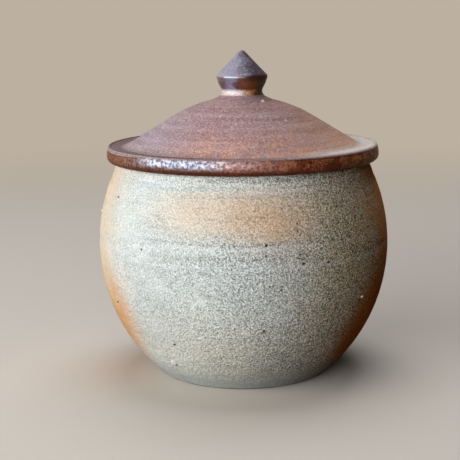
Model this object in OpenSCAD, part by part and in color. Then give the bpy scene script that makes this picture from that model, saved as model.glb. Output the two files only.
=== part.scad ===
// Lidded stoneware salt pot: a thrown round jar, a loose domed lid that
// overhangs the rim and drops into the mouth with a locating ring, and a
// pointed knob stuck onto the crown of the lid.
// All sizes in millimetres. +Z is up, the origin is the centre of the base.

/* [Pot] */
// Widest diameter of the body
belly_d = 110; // [100:1:130]
// Height of the widest place above the table
belly_z = 48.6; // [44:0.2:54]
// Diameter at which the wall would meet the table without its rounded edge
base_d = 66; // [54:1:76]
// Outside diameter of the rim that carries the lid
rim_d = 93.6; // [90:0.2:98]
// Height of the rim above the table
pot_h = 80.2; // [76:0.2:92]
// Thickness of the thrown wall
wall = 5; // [4:0.5:6.5]
// Thickness of the floor at its middle
floor_t = 6.5; // [5:0.5:9]
// Radius of the edge between the wall and the base
base_round = 3; // [1.5:0.5:5]
// Radius inside, where the wall turns into the floor
floor_round = 14; // [6:1:20]
// Height of the straight lip that is trimmed at the mouth
lip_h = 3; // [2:0.5:5]
// Radius of both edges of the rim
rim_round = 1; // [0.5:0.1:1.4]
// Width of the flat ring that the pot stands on
foot_w = 8; // [5:0.5:12]
// Depth of the hollow turned into the base
recess_h = 1.5; // [0.8:0.1:2.5]

/* [Lid] */
// Diameter across the overhanging flange
flange_d = 102.2; // [99:0.2:108]
// Thickness of the flange
flange_t = 6.2; // [5:0.1:8]
// Radius of the bulge of the flange's outer edge
flange_bulge_r = 6.4; // [5.6:0.2:12]
// Height of the widest place of the bulge above the underside of the flange
flange_bulge_h = 2.6; // [2:0.1:4]
// Radius of the upper edge of the flange
flange_top_round = 1.6; // [0.8:0.1:2]
// Radius of the lower edge of the flange
flange_under_round = 2; // [1:0.1:2.6]
// Diameter at which the dome rises from the flange
dome_d = 89; // [86:0.5:93]
// Height of the crown of the dome above the flange
dome_h = 17.5; // [15:0.1:21]
// Radius of the ball that rounds the crown
crown_r = 51; // [42:1:54]
// Radius of the hollow between the dome and the flange
dome_hollow = 7; // [3:0.5:9]
// Thickness of the shell of the dome
lid_wall = 4.6; // [4:0.1:6]
// Depth of the locating ring below the flange
ring_h = 8; // [5:0.5:12]
// Thickness of the locating ring
ring_t = 4; // [3:0.5:5]
// Radius of the lower edges of the locating ring
ring_round = 1.2; // [0.5:0.1:1.4]
// Radius inside, where the locating ring turns into the dome
shoulder_round = 4; // [1:0.5:5]
// Gap all round between the locating ring and the mouth
seat_gap = 1; // [0.5:0.1:2]

/* [Knob] */
// Diameter of the knob at its girdle, before the edge is rounded
knob_d = 19.6; // [17:0.2:24]
// Height of the cone from the girdle to its tip
cone_h = 9.4; // [8:0.1:13]
// Radius of the blunted tip
tip_round = 1.8; // [0.8:0.1:2.4]
// Radius of the girdle's edge
girdle_round = 1.1; // [0.4:0.1:1.4]
// Height of the girdle above the neck
girdle_h = 5.8; // [4:0.1:8]
// How far the underside swells out between the neck and the girdle
swell = 0.3; // [0.1:0.05:0.8]
// Radius of that swelling
swell_round = 6; // [3:0.5:8]
// Diameter of the neck
neck_d = 14.4; // [12:0.2:15.6]
// Radius of the hollow round the neck
neck_round = 1.5; // [1:0.1:2]
// Height of the neck above the crown of the lid
neck_h = 2.9; // [2.6:0.1:5]
// How far the cove below the neck stands out from it
cove_w = 1.35; // [1.1:0.05:1.8]
// Height of the cove above the crown of the lid
cove_h = 1.1; // [0.8:0.1:1.6]
// Radius of the cove
cove_round = 3; // [2:0.5:4]
// Diameter of the foot that is stuck to the lid
foot_d = 22.6; // [20:0.2:25]

/* [Hidden] */
$fn = 144;

// Largest distance between a round outline and its straight steps
arc_tol = 0.02;

belly_r = belly_d / 2;
rim_r = rim_d / 2;
lip_z = pot_h - lip_h;

// One arc below the belly and one above it, both upright at the belly
low_r = upright_arc_r(belly_r - base_d / 2, belly_z);
high_r = upright_arc_r(belly_r - rim_r, pot_h - belly_z);
low_c = [belly_r - low_r, belly_z];
high_c = [belly_r - high_r, belly_z];
base_c = edge_centre(low_c, low_r, base_round, base_round);
floor_c = edge_centre(low_c, low_r - wall, floor_t + floor_round, floor_round);
recess_r = base_c.x - foot_w;

// The lip is straight outside and upright inside
lip_rise = lip_z - belly_z;
lip_angle = asin(lip_rise / high_r);
mouth_angle = asin(lip_rise / (high_r - wall));
mouth_r = high_c.x + (high_r - wall) * cos(mouth_angle);

// The lid sits on the rim, and its ring drops into the mouth
flange_r = flange_d / 2;
flange_z = pot_h;
flange_top_z = flange_z + flange_t;
ring_r = mouth_r - seat_gap;
ring_in_r = ring_r - ring_t;
ring_z = flange_z - ring_h;

// The outer edge of the flange is an arc, rounded into its top and its underside
bulge_c = [flange_r - flange_bulge_r, flange_z + flange_bulge_h];
top_edge_c = edge_centre(bulge_c, flange_bulge_r, flange_top_z - flange_top_round, flange_top_round);
under_edge_c = edge_centre(bulge_c, flange_bulge_r, flange_z + flange_under_round, flange_under_round);

// A cone from the flange that touches the ball of the crown
crown_c = [0, flange_top_z + dome_h - crown_r];
dome_edge = [dome_d / 2, flange_top_z];
cone_angle = touch_angle(dome_edge, crown_c, crown_r);
cone_top = crown_c + crown_r * ray(cone_angle);
inner_r = crown_r - lid_wall;
inner_cone_top = crown_c + inner_r * ray(cone_angle);
shoulder_z = inner_cone_top.y - (ring_in_r - inner_cone_top.x) / tan(cone_angle);

// The crown is cut flat where the foot of the knob is stuck on
foot_r = foot_d / 2;
seat_angle = acos(foot_r / crown_r);
seat_z = crown_c.y + crown_r * sin(seat_angle);
neck = [neck_d / 2, seat_z + neck_h];
cove = [neck.x + cove_w, seat_z + cove_h];
girdle = [knob_d / 2, neck.y + girdle_h];
swell_p = (neck + girdle) / 2 + swell * ray(heading(neck, girdle) - 90);
tip_c = [0, girdle.y + cone_h - tip_round];
tip_angle = touch_angle(girdle, tip_c, tip_round);
tip_end = tip_c + tip_round * ray(tip_angle);

// Unit vector at an angle from the radial direction
function ray(angle) = [cos(angle), sin(angle)];

// Radius of an arc that starts upright and moves in by `inward` over `rise`
function upright_arc_r(inward, rise) = (inward ^ 2 + rise ^ 2) / (2 * inward);

// Centre, at the height z, of a small round that touches a big circle from inside
function edge_centre(c, r, z, small_r) = [c.x + sqrt((r - small_r) ^ 2 - (c.y - z) ^ 2), z];

// Angle from one point to another
function heading(from, to) = atan2(to.y - from.y, to.x - from.x);

// Angle at which a line from the point p touches the upper side of a circle
function touch_angle(p, c, r) = heading(c, p) + acos(r / norm(p - c));

// Number of straight steps for a round stretch
function arc_steps(r, sweep) = max(2, ceil(abs(sweep) / (2 * acos(1 - arc_tol / r))));

// Points of an arc, without its last one
function arc(c, r, start, end) =
    let (n = arc_steps(r, end - start))
    [for (i = [0:n - 1]) c + r * ray(start + (end - start) * i / n)];

// Points of the corner b, between a and c, rounded with the radius r
function corner(a, b, c, r) =
    let (
        u = (a - b) / norm(a - b),
        v = (c - b) / norm(c - b),
        half = acos(u * v) / 2,
        middle = b + (u + v) / norm(u + v) * r / sin(half),
        reach = r / tan(half),
        start = heading(middle, b + u * reach),
        turn = heading(middle, b + v * reach) - start,
        sweep = turn > 180 ? turn - 360 : turn < -180 ? turn + 360 : turn
    )
    concat(arc(middle, r, start, start + sweep), [middle + r * ray(start + sweep)]);

// Inner points of an open outline, each [x, z, radius], all corners rounded
function rounded(points) = [
    for (i = [1:len(points) - 2])
        each corner(flat(points[i - 1]), flat(points[i]), flat(points[i + 1]), points[i][2])
];

// A point without its radius
function flat(point) = [point.x, point.y];

module pot() {
    base_angle = heading(low_c, base_c);
    floor_angle = heading(low_c, floor_c);
    color("#aaa79b")
        rotate_extrude()
            polygon(concat(
                [[0, recess_h], [recess_r - recess_h, recess_h], [recess_r, 0]],
                arc(base_c, base_round, -90, base_angle),
                arc(low_c, low_r, base_angle, 0),
                arc(high_c, high_r, 0, lip_angle),
                [high_c + high_r * ray(lip_angle)],
                rounded([
                    high_c + high_r * ray(lip_angle),
                    [rim_r, pot_h, rim_round],
                    [mouth_r, pot_h, rim_round],
                    [mouth_r, lip_z]
                ]),
                arc(high_c, high_r - wall, mouth_angle, 0),
                arc(low_c, low_r - wall, 0, floor_angle),
                arc(floor_c, floor_round, floor_angle, -90),
                [[floor_c.x, floor_t], [0, floor_t]]
            ));
}

module lid() {
    top_angle = heading(bulge_c, top_edge_c);
    under_angle = heading(bulge_c, under_edge_c);
    color("#7b4a3c")
        rotate_extrude()
            polygon(concat(
                [[0, seat_z]],
                arc(crown_c, crown_r, seat_angle, cone_angle),
                [cone_top],
                corner(cone_top, dome_edge, [top_edge_c.x, flange_top_z], dome_hollow),
                arc(top_edge_c, flange_top_round, 90, top_angle),
                arc(bulge_c, flange_bulge_r, top_angle, under_angle),
                arc(under_edge_c, flange_under_round, under_angle, -90),
                [[under_edge_c.x, flange_z], [ring_r, flange_z]],
                rounded([
                    [ring_r, flange_z],
                    [ring_r, ring_z, ring_round],
                    [ring_in_r, ring_z, ring_round],
                    [ring_in_r, shoulder_z, shoulder_round],
                    inner_cone_top
                ]),
                arc(crown_c, inner_r, cone_angle, 90),
                [[0, crown_c.y + inner_r]]
            ));
}

module lid_knob() {
    color("#6a4744")
        rotate_extrude()
            polygon(concat(
                arc(tip_c, tip_round, 90, tip_angle),
                [tip_end],
                rounded([
                    tip_end,
                    [girdle.x, girdle.y, girdle_round],
                    [swell_p.x, swell_p.y, swell_round],
                    [neck.x, neck.y, neck_round],
                    [cove.x, cove.y, cove_round],
                    [foot_r, seat_z]
                ]),
                [[foot_r, seat_z], [0, seat_z]]
            ));
}

pot();
lid();
lid_knob();
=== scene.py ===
"""Looks of a lidded stoneware salt pot: an ash-dusted jar, a domed lid in iron wash and its pointed knob.

Outlines and finishes are written in millimetres, and meshes are made in metres. Each of the three pieces
is turned round the Z axis from its half section, with the marks of the wheel as real relief.
"""

from __future__ import annotations

import logging
import math
from collections.abc import Sequence
from dataclasses import dataclass, field
from enum import Enum
from functools import cached_property
from typing import ClassVar

import bmesh
import bpy
import numpy as np
from mathutils import Matrix, Vector, noise


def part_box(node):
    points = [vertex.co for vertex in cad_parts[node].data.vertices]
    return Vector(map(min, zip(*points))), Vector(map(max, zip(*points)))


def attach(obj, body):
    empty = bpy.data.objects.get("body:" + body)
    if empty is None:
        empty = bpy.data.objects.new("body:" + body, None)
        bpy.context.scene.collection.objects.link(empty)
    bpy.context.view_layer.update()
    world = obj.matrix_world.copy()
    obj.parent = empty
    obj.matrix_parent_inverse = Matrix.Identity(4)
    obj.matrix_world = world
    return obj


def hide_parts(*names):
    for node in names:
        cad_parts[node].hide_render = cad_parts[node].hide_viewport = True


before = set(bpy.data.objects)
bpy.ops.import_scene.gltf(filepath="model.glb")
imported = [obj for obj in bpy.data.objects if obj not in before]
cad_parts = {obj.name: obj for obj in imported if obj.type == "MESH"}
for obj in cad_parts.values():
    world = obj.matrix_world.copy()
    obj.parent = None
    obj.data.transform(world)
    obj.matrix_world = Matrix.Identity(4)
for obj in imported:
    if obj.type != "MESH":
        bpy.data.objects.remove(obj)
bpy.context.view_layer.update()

LOG = logging.getLogger("salt_pot")
MM = 0.001

Socket = bpy.types.NodeSocket
Feed = Socket | float | Sequence[float]
Point = tuple[float, float]


def shade(code: str) -> tuple[float, float, float, float]:
    """Turn a colour code into linear light.

    Args:
        code: Six hexadecimal digits after a hash, as a screen shows the colour.

    Returns:
        Red, green, blue and a full alpha, in linear light.
    """
    parts = [int(code[i:i + 2], 16) / 255 for i in (1, 3, 5)]
    linear = [p / 12.92 if p <= 0.04045 else ((p + 0.055) / 1.055) ** 2.4 for p in parts]
    return (linear[0], linear[1], linear[2], 1.0)


def ray(degrees: float) -> np.ndarray:
    """Unit vector in the plane of a half section, at an angle from the radial direction."""
    return np.array([math.cos(math.radians(degrees)), math.sin(math.radians(degrees))])


def heading(start: np.ndarray, end: np.ndarray) -> float:
    """Angle in degrees of the way from one point of a half section to another."""
    return math.degrees(math.atan2(end[1] - start[1], end[0] - start[0]))


def smooth(value: np.ndarray, low: float, high: float) -> np.ndarray:
    """Smooth step from 0 at low to 1 at high."""
    share = np.clip((value - low) / (high - low), 0.0, 1.0)
    return share * share * (3.0 - 2.0 * share)


class Stretch(Enum):
    """Kinds of place on a turned piece."""

    UNDERSIDE = 0
    OUTSIDE = 1
    EDGE = 2
    INSIDE = 3


class Outline:
    """Half section of a turned piece, drawn with its clay on the left of the way."""

    LEAST_STEPS: ClassVar[int] = 3
    CORNER_STEPS: ClassVar[int] = 5
    SAME_SPOT: ClassVar[float] = 1e-6

    def __init__(self, start: Point) -> None:
        """Start the way at a point of radius and height."""
        self.spots: list[np.ndarray] = [np.array(start, float)]
        self.marks: list[Stretch] = []

    def add(self, spot: np.ndarray, mark: Stretch) -> None:
        """Add one point, unless the way is there already.

        Args:
            spot: Radius and height of the point.
            mark: Kind of place that the way to it is.
        """
        if np.linalg.norm(spot - self.spots[-1]) > self.SAME_SPOT:
            self.spots.append(spot)
            self.marks.append(mark)

    def line(self, end: Point | np.ndarray, step: float, mark: Stretch) -> None:
        """Go straight to a point.

        Args:
            end: Radius and height of the point.
            step: Longest step on the way.
            mark: Kind of place that the stretch is.
        """
        start, finish = self.spots[-1], np.array(end, float)
        count = max(1, math.ceil(np.linalg.norm(finish - start) / step))
        for i in range(1, count + 1):
            self.add(start + (finish - start) * i / count, mark)

    def arc(self, centre: np.ndarray, radius: float, sweep: Point, step: float, mark: Stretch) -> None:
        """Follow a round stretch.

        Args:
            centre: Middle of the round.
            radius: Its radius.
            sweep: Angles in degrees at which it starts and ends.
            step: Longest step on the way.
            mark: Kind of place that the stretch is.
        """
        first, last = sweep
        count = max(self.LEAST_STEPS, math.ceil(radius * abs(math.radians(last - first)) / step))
        for i in range(count + 1):
            self.add(centre + radius * ray(first + (last - first) * i / count), mark)

    def corner(self, knot: Point | np.ndarray, beyond: Point | np.ndarray, radius: float, step: float,
               mark: Stretch) -> None:
        """Go towards a corner and turn round it.

        Args:
            knot: The sharp corner.
            beyond: Where the way goes after the corner.
            radius: Radius of the rounded corner.
            step: Longest step on the way there.
            mark: Kind of place that the stretch is.
        """
        tip = np.array(knot, float)
        back = self.spots[-1] - tip
        on = np.array(beyond, float) - tip
        back, on = back / np.linalg.norm(back), on / np.linalg.norm(on)
        half = math.acos(float(np.clip(back @ on, -1.0, 1.0))) / 2
        middle = tip + (back + on) / np.linalg.norm(back + on) * radius / math.sin(half)
        reach = radius / math.tan(half)
        first = heading(middle, tip + back * reach)
        turn = (heading(middle, tip + on * reach) - first + 180) % 360 - 180
        self.line(tip + back * reach, step, mark)
        self.arc(middle, radius, (first, first + turn), min(step, radius / self.CORNER_STEPS), mark)


class Waves:
    """Seeded ripples over a turned surface that meet without a seam."""

    def __init__(self, draw: np.random.Generator, count: int, turns: Point, lengths: Point) -> None:
        """Draw the ripples.

        Args:
            draw: Source of the random values.
            count: Number of ripples.
            turns: Fewest and most crests round the piece.
            lengths: Shortest and longest ripple along the outline.
        """
        self.turns = draw.integers(int(turns[0]), int(turns[1]) + 1, count) * draw.choice([-1, 1], count)
        self.pace = 2 * math.pi / draw.uniform(lengths[0], lengths[1], count)
        self.phase = draw.uniform(0, 2 * math.pi, count)

    def at(self, angle: np.ndarray, along: np.ndarray) -> np.ndarray:
        """Height of the ripples, about 1 at the crests.

        Args:
            angle: Row of angles round the piece, in radians.
            along: Column of lengths along the outline.

        Returns:
            One height for each length and angle.
        """
        total = np.zeros(np.broadcast_shapes(angle.shape, along.shape))
        for turns, pace, phase in zip(self.turns, self.pace, self.phase):
            total += np.cos(turns * angle + pace * along + phase)
        return total / math.sqrt(2 * len(self.turns))


@dataclass(frozen=True)
class Groove:
    """A line that a tool or a finger left part of the way round, proud where its depth is negative."""

    height: float
    width: float
    depth: float
    middle: float
    reach: float
    full: float = 0.4

    def relief(self, height: np.ndarray, angle: np.ndarray) -> np.ndarray:
        """Height of the mark over a surface.

        Args:
            height: Column of heights in millimetres.
            angle: Row of angles in radians, 0 along +X.

        Returns:
            How far the surface moves out, for each height and angle.
        """
        away = np.degrees(np.angle(np.exp(1j * (angle - math.radians(self.middle - 90)))))
        shape = np.exp(-((height - self.height) / self.width) ** 2)
        return -self.depth * shape * smooth(np.abs(away), self.reach, self.reach * self.full)


@dataclass(frozen=True)
class Fade:
    """A smooth step: the values where it starts and ends, and what it gives there."""

    low: float
    high: float
    start: float = 0.0
    end: float = 1.0


class Bench:
    """Adds nodes to one shader tree and joins them."""

    def __init__(self, tree: bpy.types.NodeTree) -> None:
        """Take the tree to work on."""
        self.tree = tree

    def feed(self, socket: Socket, value: Feed) -> None:
        """Join a socket to another one, or set its own value.

        Args:
            socket: The socket that is fed.
            value: Another socket, or a plain value.
        """
        if isinstance(value, Socket):
            self.tree.links.new(value, socket)
        else:
            socket.default_value = value

    def node(self, kind: str, feeds: dict[str | int, Feed] | None = None,
             **settings: object) -> bpy.types.Node:
        """Add a node.

        Args:
            kind: Blender's name for the kind of node.
            feeds: What goes into its sockets.
            **settings: Its other settings.

        Returns:
            The new node.
        """
        made = self.tree.nodes.new(kind)
        for key, value in settings.items():
            setattr(made, key, value)
        for key, value in (feeds or {}).items():
            self.feed(made.inputs[key], value)
        return made

    def math(self, operation: str, first: Feed, second: Feed = 0.0, third: Feed = 0.0) -> Socket:
        """Result of a sum on one to three values."""
        feeds = {0: first, 1: second, 2: third}
        return self.node("ShaderNodeMath", feeds, operation=operation).outputs[0]

    def product(self, first: Feed, *others: Feed) -> Socket:
        """Multiply values in their order.

        Args:
            first: The first value.
            *others: The values that it is multiplied by.

        Returns:
            The product.
        """
        for other in others:
            first = self.math("MULTIPLY", first, other)
        return first

    def most(self, first: Feed, second: Feed) -> Socket:
        """Larger one of two values."""
        return self.math("MAXIMUM", first, second)

    def sway(self, value: Feed, cloud: Feed, reach: float) -> Socket:
        """Value moved up or down by a cloud, as far as its reach."""
        return self.math("ADD", value, self.math("MULTIPLY_ADD", cloud, 2 * reach, -reach))

    def vector(self, operation: str, first: Feed, second: Feed = (0.0, 0.0, 0.0)) -> Socket:
        """Result of a sum on vectors, as a value where the sum gives one."""
        made = self.node("ShaderNodeVectorMath", {0: first, 1: second}, operation=operation)
        return made.outputs["Value" if operation == "LENGTH" else "Vector"]

    def ramp(self, value: Feed, low: Feed, high: Feed, start: Feed = 0.0, end: Feed = 1.0) -> Socket:
        """Smooth step of a value from start at low to end at high."""
        feeds = {"Value": value, "From Min": low, "From Max": high, "To Min": start, "To Max": end}
        return self.node("ShaderNodeMapRange", feeds, interpolation_type="SMOOTHSTEP").outputs["Result"]

    def fade(self, value: Feed, step: Fade) -> Socket:
        """Smooth step of a value by named sizes."""
        return self.ramp(value, step.low, step.high, step.start, step.end)

    def blend(self, share: Feed, under: Feed, over: Feed) -> Socket:
        """Colour over another by a share."""
        return self.node("ShaderNodeMix", {0: share, 6: under, 7: over}, data_type="RGBA").outputs[2]

    def tint(self, share: Feed, under: Feed, code: str) -> Socket:
        """Colour under a share of a tone."""
        return self.blend(share, under, shade(code))

    def tones(self, share: Feed, first: str, second: str) -> Socket:
        """Colour between two tones by a share."""
        return self.blend(share, shade(first), shade(second))

    def between(self, share: Feed, first: Feed, second: Feed) -> Socket:
        """Value between two others by a share."""
        return self.node("ShaderNodeMix", {0: share, 2: first, 3: second}, data_type="FLOAT").outputs[0]

    def noise(self, place: Feed, scale: Feed, detail: float, roughness: float) -> Socket:
        """Cloudy value from 0 to 1 at a place."""
        feeds = {"Vector": place, "Scale": scale, "Detail": detail, "Roughness": roughness}
        return self.node("ShaderNodeTexNoise", feeds).outputs[0]

    def place(self) -> Socket:
        """Place on the piece in millimetres."""
        spot = self.node("ShaderNodeTexCoord").outputs["Object"]
        return self.vector("MULTIPLY", spot, (1 / MM, 1 / MM, 1 / MM))

    def parts(self, place: Feed) -> tuple[Socket, Socket, Socket]:
        """The three numbers of a place."""
        split = self.node("ShaderNodeSeparateXYZ", {0: place})
        return split.outputs[0], split.outputs[1], split.outputs[2]

    def radius(self, place: Feed) -> Socket:
        """Distance of a place from the turning axis."""
        return self.vector("LENGTH", self.vector("MULTIPLY", place, (1.0, 1.0, 0.0)))


class Effect(Enum):
    """Effects of clay and kiln that several finishes share."""

    GRAIN = "clay_grain"
    SPOTS = "iron_spots"
    FLASH = "flame_flash"
    LINES = "turning_lines"
    CLOUDS = "kiln_clouds"


class Kind(Enum):
    """Kinds of socket on an effect."""

    VALUE = "NodeSocketFloat"
    VECTOR = "NodeSocketVector"


class EffectKit:
    """Builds each shared effect once as a node group and places it in finishes."""

    PALE_LUCK: ClassVar[Fade] = Fade(0.57, 0.65)
    PIT_LUCK: ClassVar[Fade] = Fade(0.35, 0.25)
    LUMP_RATE: ClassVar[float] = 0.24
    SPOT_LEAST: ClassVar[float] = 0.5
    SPOT_CORE: ClassVar[float] = 0.5
    TORN_RATE: ClassVar[float] = 0.09
    FLASH_EDGE: ClassVar[float] = 0.92
    STREAK_PULL: ClassVar[float] = 0.03
    STREAK_STEP: ClassVar[Fade] = Fade(0.35, 0.65)
    CLOUD_STEP: ClassVar[Fade] = Fade(0.3, 0.7)

    def __init__(self) -> None:
        """Build all the groups."""
        self.groups = {
            Effect.GRAIN: self.clay_grain(),
            Effect.SPOTS: self.iron_spots(),
            Effect.FLASH: self.flame_flash(),
            Effect.LINES: self.turning_lines(),
            Effect.CLOUDS: self.kiln_clouds(),
        }

    def use(self, bench: Bench, effect: Effect, feeds: dict[str, Feed]) -> bpy.types.Node:
        """Place an effect in a finish.

        Args:
            bench: Bench of the finish.
            effect: Which effect.
            feeds: What goes into its named sockets.

        Returns:
            The node of the effect, with its named outputs.
        """
        made = bench.tree.nodes.new("ShaderNodeGroup")
        made.node_tree = self.groups[effect]
        for key, value in feeds.items():
            bench.feed(made.inputs[key], value)
        return made

    def begin(self, effect: Effect, takes: dict[str, Kind], gives: Sequence[str]) -> tuple[Bench, dict, dict]:
        """Start a group with its sockets.

        Args:
            effect: The effect that the group makes.
            takes: Names and kinds of its inputs.
            gives: Names of its outputs.

        Returns:
            The bench of the group, its inputs and its outputs by name.
        """
        tree = bpy.data.node_groups.new(effect.value, "ShaderNodeTree")
        for name, kind in takes.items():
            tree.interface.new_socket(name=name, in_out="INPUT", socket_type=kind.value)
        for name in gives:
            tree.interface.new_socket(name=name, in_out="OUTPUT", socket_type=Kind.VALUE.value)
        bench = Bench(tree)
        inputs = {s.name: s for s in bench.node("NodeGroupInput").outputs if s.name}
        outputs = {s.name: s for s in bench.node("NodeGroupOutput").inputs if s.name}
        return bench, inputs, outputs

    def clay_grain(self) -> bpy.types.NodeTree:
        """Build the sandy grain of coarse clay: pale grains, dark hollows between them and their height."""
        takes = {"Place": Kind.VECTOR, "Size": Kind.VALUE}
        bench, inputs, outputs = self.begin(Effect.GRAIN, takes, ("Pale", "Pits", "Height"))
        scale = bench.math("DIVIDE", 1.0, inputs["Size"])
        sand = bench.node("ShaderNodeTexVoronoi", {"Vector": inputs["Place"], "Scale": scale})
        luck, _, _ = bench.parts(sand.outputs["Color"])
        rate = bench.product(scale, self.LUMP_RATE)
        lumps = bench.noise(inputs["Place"], rate, detail=2.0, roughness=0.5)
        bench.feed(outputs["Pale"], bench.fade(luck, self.PALE_LUCK))
        bench.feed(outputs["Pits"], bench.fade(luck, self.PIT_LUCK))
        bench.feed(outputs["Height"], lumps)
        return bench.tree

    def iron_spots(self) -> bpy.types.NodeTree:
        """Build small round spots where iron melted out of the clay."""
        takes = {"Place": Kind.VECTOR, "Spacing": Kind.VALUE, "Size": Kind.VALUE, "Share": Kind.VALUE}
        bench, inputs, outputs = self.begin(Effect.SPOTS, takes, ("Mask",))
        scale = bench.math("DIVIDE", 1.0, inputs["Spacing"])
        cells = bench.node("ShaderNodeTexVoronoi", {"Vector": inputs["Place"], "Scale": scale})
        chance, girth, _ = bench.parts(cells.outputs["Color"])
        away = bench.product(cells.outputs["Distance"], inputs["Spacing"])
        reach = bench.product(inputs["Size"], bench.math("ADD", girth, self.SPOT_LEAST))
        spot = bench.ramp(away, reach, bench.product(reach, self.SPOT_CORE))
        kept = bench.math("LESS_THAN", chance, inputs["Share"])
        bench.feed(outputs["Mask"], bench.product(spot, kept))
        return bench.tree

    def flame_flash(self) -> bpy.types.NodeTree:
        """Build a soft ragged patch where the flame or its ash reached the clay."""
        takes = {"Place": Kind.VECTOR, "Centre": Kind.VECTOR, "Spread": Kind.VECTOR}
        takes |= {"Ragged": Kind.VALUE, "Soft": Kind.VALUE}
        bench, inputs, outputs = self.begin(Effect.FLASH, takes, ("Mask",))
        away = bench.vector("SUBTRACT", inputs["Place"], inputs["Centre"])
        away = bench.vector("LENGTH", bench.vector("DIVIDE", away, inputs["Spread"]))
        torn = bench.noise(inputs["Place"], self.TORN_RATE, detail=4.0, roughness=0.6)
        torn = bench.product(bench.math("SUBTRACT", torn, 0.5), inputs["Ragged"])
        outer = bench.math("ADD", self.FLASH_EDGE, inputs["Soft"])
        inner = bench.math("SUBTRACT", self.FLASH_EDGE, inputs["Soft"])
        bench.feed(outputs["Mask"], bench.ramp(bench.math("ADD", away, torn), outer, inner))
        return bench.tree

    def turning_lines(self) -> bpy.types.NodeTree:
        """Build long level streaks, as the wheel drags grains and slip round."""
        takes = {"Place": Kind.VECTOR, "Pitch": Kind.VALUE}
        bench, inputs, outputs = self.begin(Effect.LINES, takes, ("Streak",))
        rate = bench.math("DIVIDE", 1.0, inputs["Pitch"])
        pull = bench.node("ShaderNodeCombineXYZ", {0: self.STREAK_PULL, 1: self.STREAK_PULL, 2: rate})
        spot = bench.vector("MULTIPLY", inputs["Place"], pull.outputs[0])
        drawn = bench.noise(spot, 1.0, detail=3.0, roughness=0.55)
        bench.feed(outputs["Streak"], bench.fade(drawn, self.STREAK_STEP))
        return bench.tree

    def kiln_clouds(self) -> bpy.types.NodeTree:
        """Build broad drifts of colour."""
        takes = {"Place": Kind.VECTOR, "Size": Kind.VALUE}
        bench, inputs, outputs = self.begin(Effect.CLOUDS, takes, ("Shade",))
        scale = bench.math("DIVIDE", 1.0, inputs["Size"])
        drift = bench.noise(inputs["Place"], scale, detail=3.0, roughness=0.55)
        bench.feed(outputs["Shade"], bench.fade(drift, self.CLOUD_STEP))
        return bench.tree


@dataclass(frozen=True)
class Finish:
    """A finish of one surface, made as a material from nodes."""

    name: str

    def material(self, kit: EffectKit) -> bpy.types.Material:
        """Make the material.

        Args:
            kit: The shared effects.

        Returns:
            The finished material.
        """
        made = bpy.data.materials.new(self.name)
        made.use_nodes = True
        made.node_tree.nodes.clear()
        bench = Bench(made.node_tree)
        shader = bench.node("ShaderNodeBsdfPrincipled")
        bench.node("ShaderNodeOutputMaterial", {"Surface": shader.outputs["BSDF"]})
        self.paint(bench, kit, shader)
        return made

    def paint(self, bench: Bench, kit: EffectKit, shader: bpy.types.Node) -> None:
        """Feed the shader, as each finish does in its own way."""
        raise NotImplementedError

    @staticmethod
    def bump(bench: Bench, shader: bpy.types.Node, height: Feed, depth: float) -> None:
        """Raise the surface.

        Args:
            bench: Bench of the finish.
            shader: The shader whose surface is raised.
            height: Height from 0 to 1.
            depth: What a height of 1 means, in millimetres.
        """
        feeds = {"Height": height, "Distance": depth * MM, "Strength": 1.0}
        bench.feed(shader.inputs["Normal"], bench.node("ShaderNodeBump", feeds).outputs["Normal"])


@dataclass(frozen=True)
class Patch:
    """Where a flash lies: its centre and reach each way in millimetres, and how torn and soft its edge is."""

    centre: tuple[float, float, float]
    spread: tuple[float, float, float]
    ragged: float = 0.6
    soft: float = 0.33

    def mask(self, bench: Bench, kit: EffectKit, place: Feed) -> Socket:
        """Share of the flash at a place.

        Args:
            bench: Bench of the finish.
            kit: The shared effects.
            place: Place in millimetres.

        Returns:
            The share, from 0 to 1.
        """
        feeds = {"Place": place, "Centre": self.centre, "Spread": self.spread}
        feeds |= {"Ragged": self.ragged, "Soft": self.soft}
        return kit.use(bench, Effect.FLASH, feeds).outputs["Mask"]


@dataclass(frozen=True)
class Mark:
    """A turning line or a smear that took more or less ash, a painted shadow, or a patch of painted shade or
    light: where it lies, its colour and its strength.
    """

    patch: Patch
    tone: str
    share: float


@dataclass(frozen=True)
class Spots:
    """Iron spots: their spacing and size in millimetres, how many places have one, and their strength."""

    spacing: float
    size: float
    share: float
    strength: float

    def mask(self, bench: Bench, kit: EffectKit, place: Feed) -> Socket:
        """Share of the spots at a place."""
        feeds = {"Place": place, "Spacing": self.spacing, "Size": self.size, "Share": self.share}
        return bench.product(kit.use(bench, Effect.SPOTS, feeds).outputs["Mask"], self.strength)


@dataclass(frozen=True)
class Ground:
    """What a clay finish starts from: the place and its numbers, two sizes of drift, and the grain."""

    place: Socket
    x: Socket
    y: Socket
    z: Socket
    broad: Socket
    small: Socket
    pale: Socket
    pits: Socket
    height: Socket


@dataclass(frozen=True)
class ClayFinish(Finish):
    """A finish of sandy clay with drifts of colour, its sizes in millimetres."""

    broad_size: float = 30.0
    small_size: float = 8.0
    grain_size: float = 0.25
    grain_depth: float = 0.4

    def ground(self, bench: Bench, kit: EffectKit) -> Ground:
        """Lay out what the finish starts from.

        Args:
            bench: Bench of the finish.
            kit: The shared effects.

        Returns:
            The place, the drifts and the grain.
        """
        place = bench.place()
        x, y, z = bench.parts(place)
        broad = kit.use(bench, Effect.CLOUDS, {"Place": place, "Size": self.broad_size})
        small = kit.use(bench, Effect.CLOUDS, {"Place": place, "Size": self.small_size})
        grain = kit.use(bench, Effect.GRAIN, {"Place": place, "Size": self.grain_size})
        return Ground(
            place, x, y, z, broad.outputs["Shade"], small.outputs["Shade"],
            grain.outputs["Pale"], grain.outputs["Pits"], grain.outputs["Height"],
        )


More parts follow.
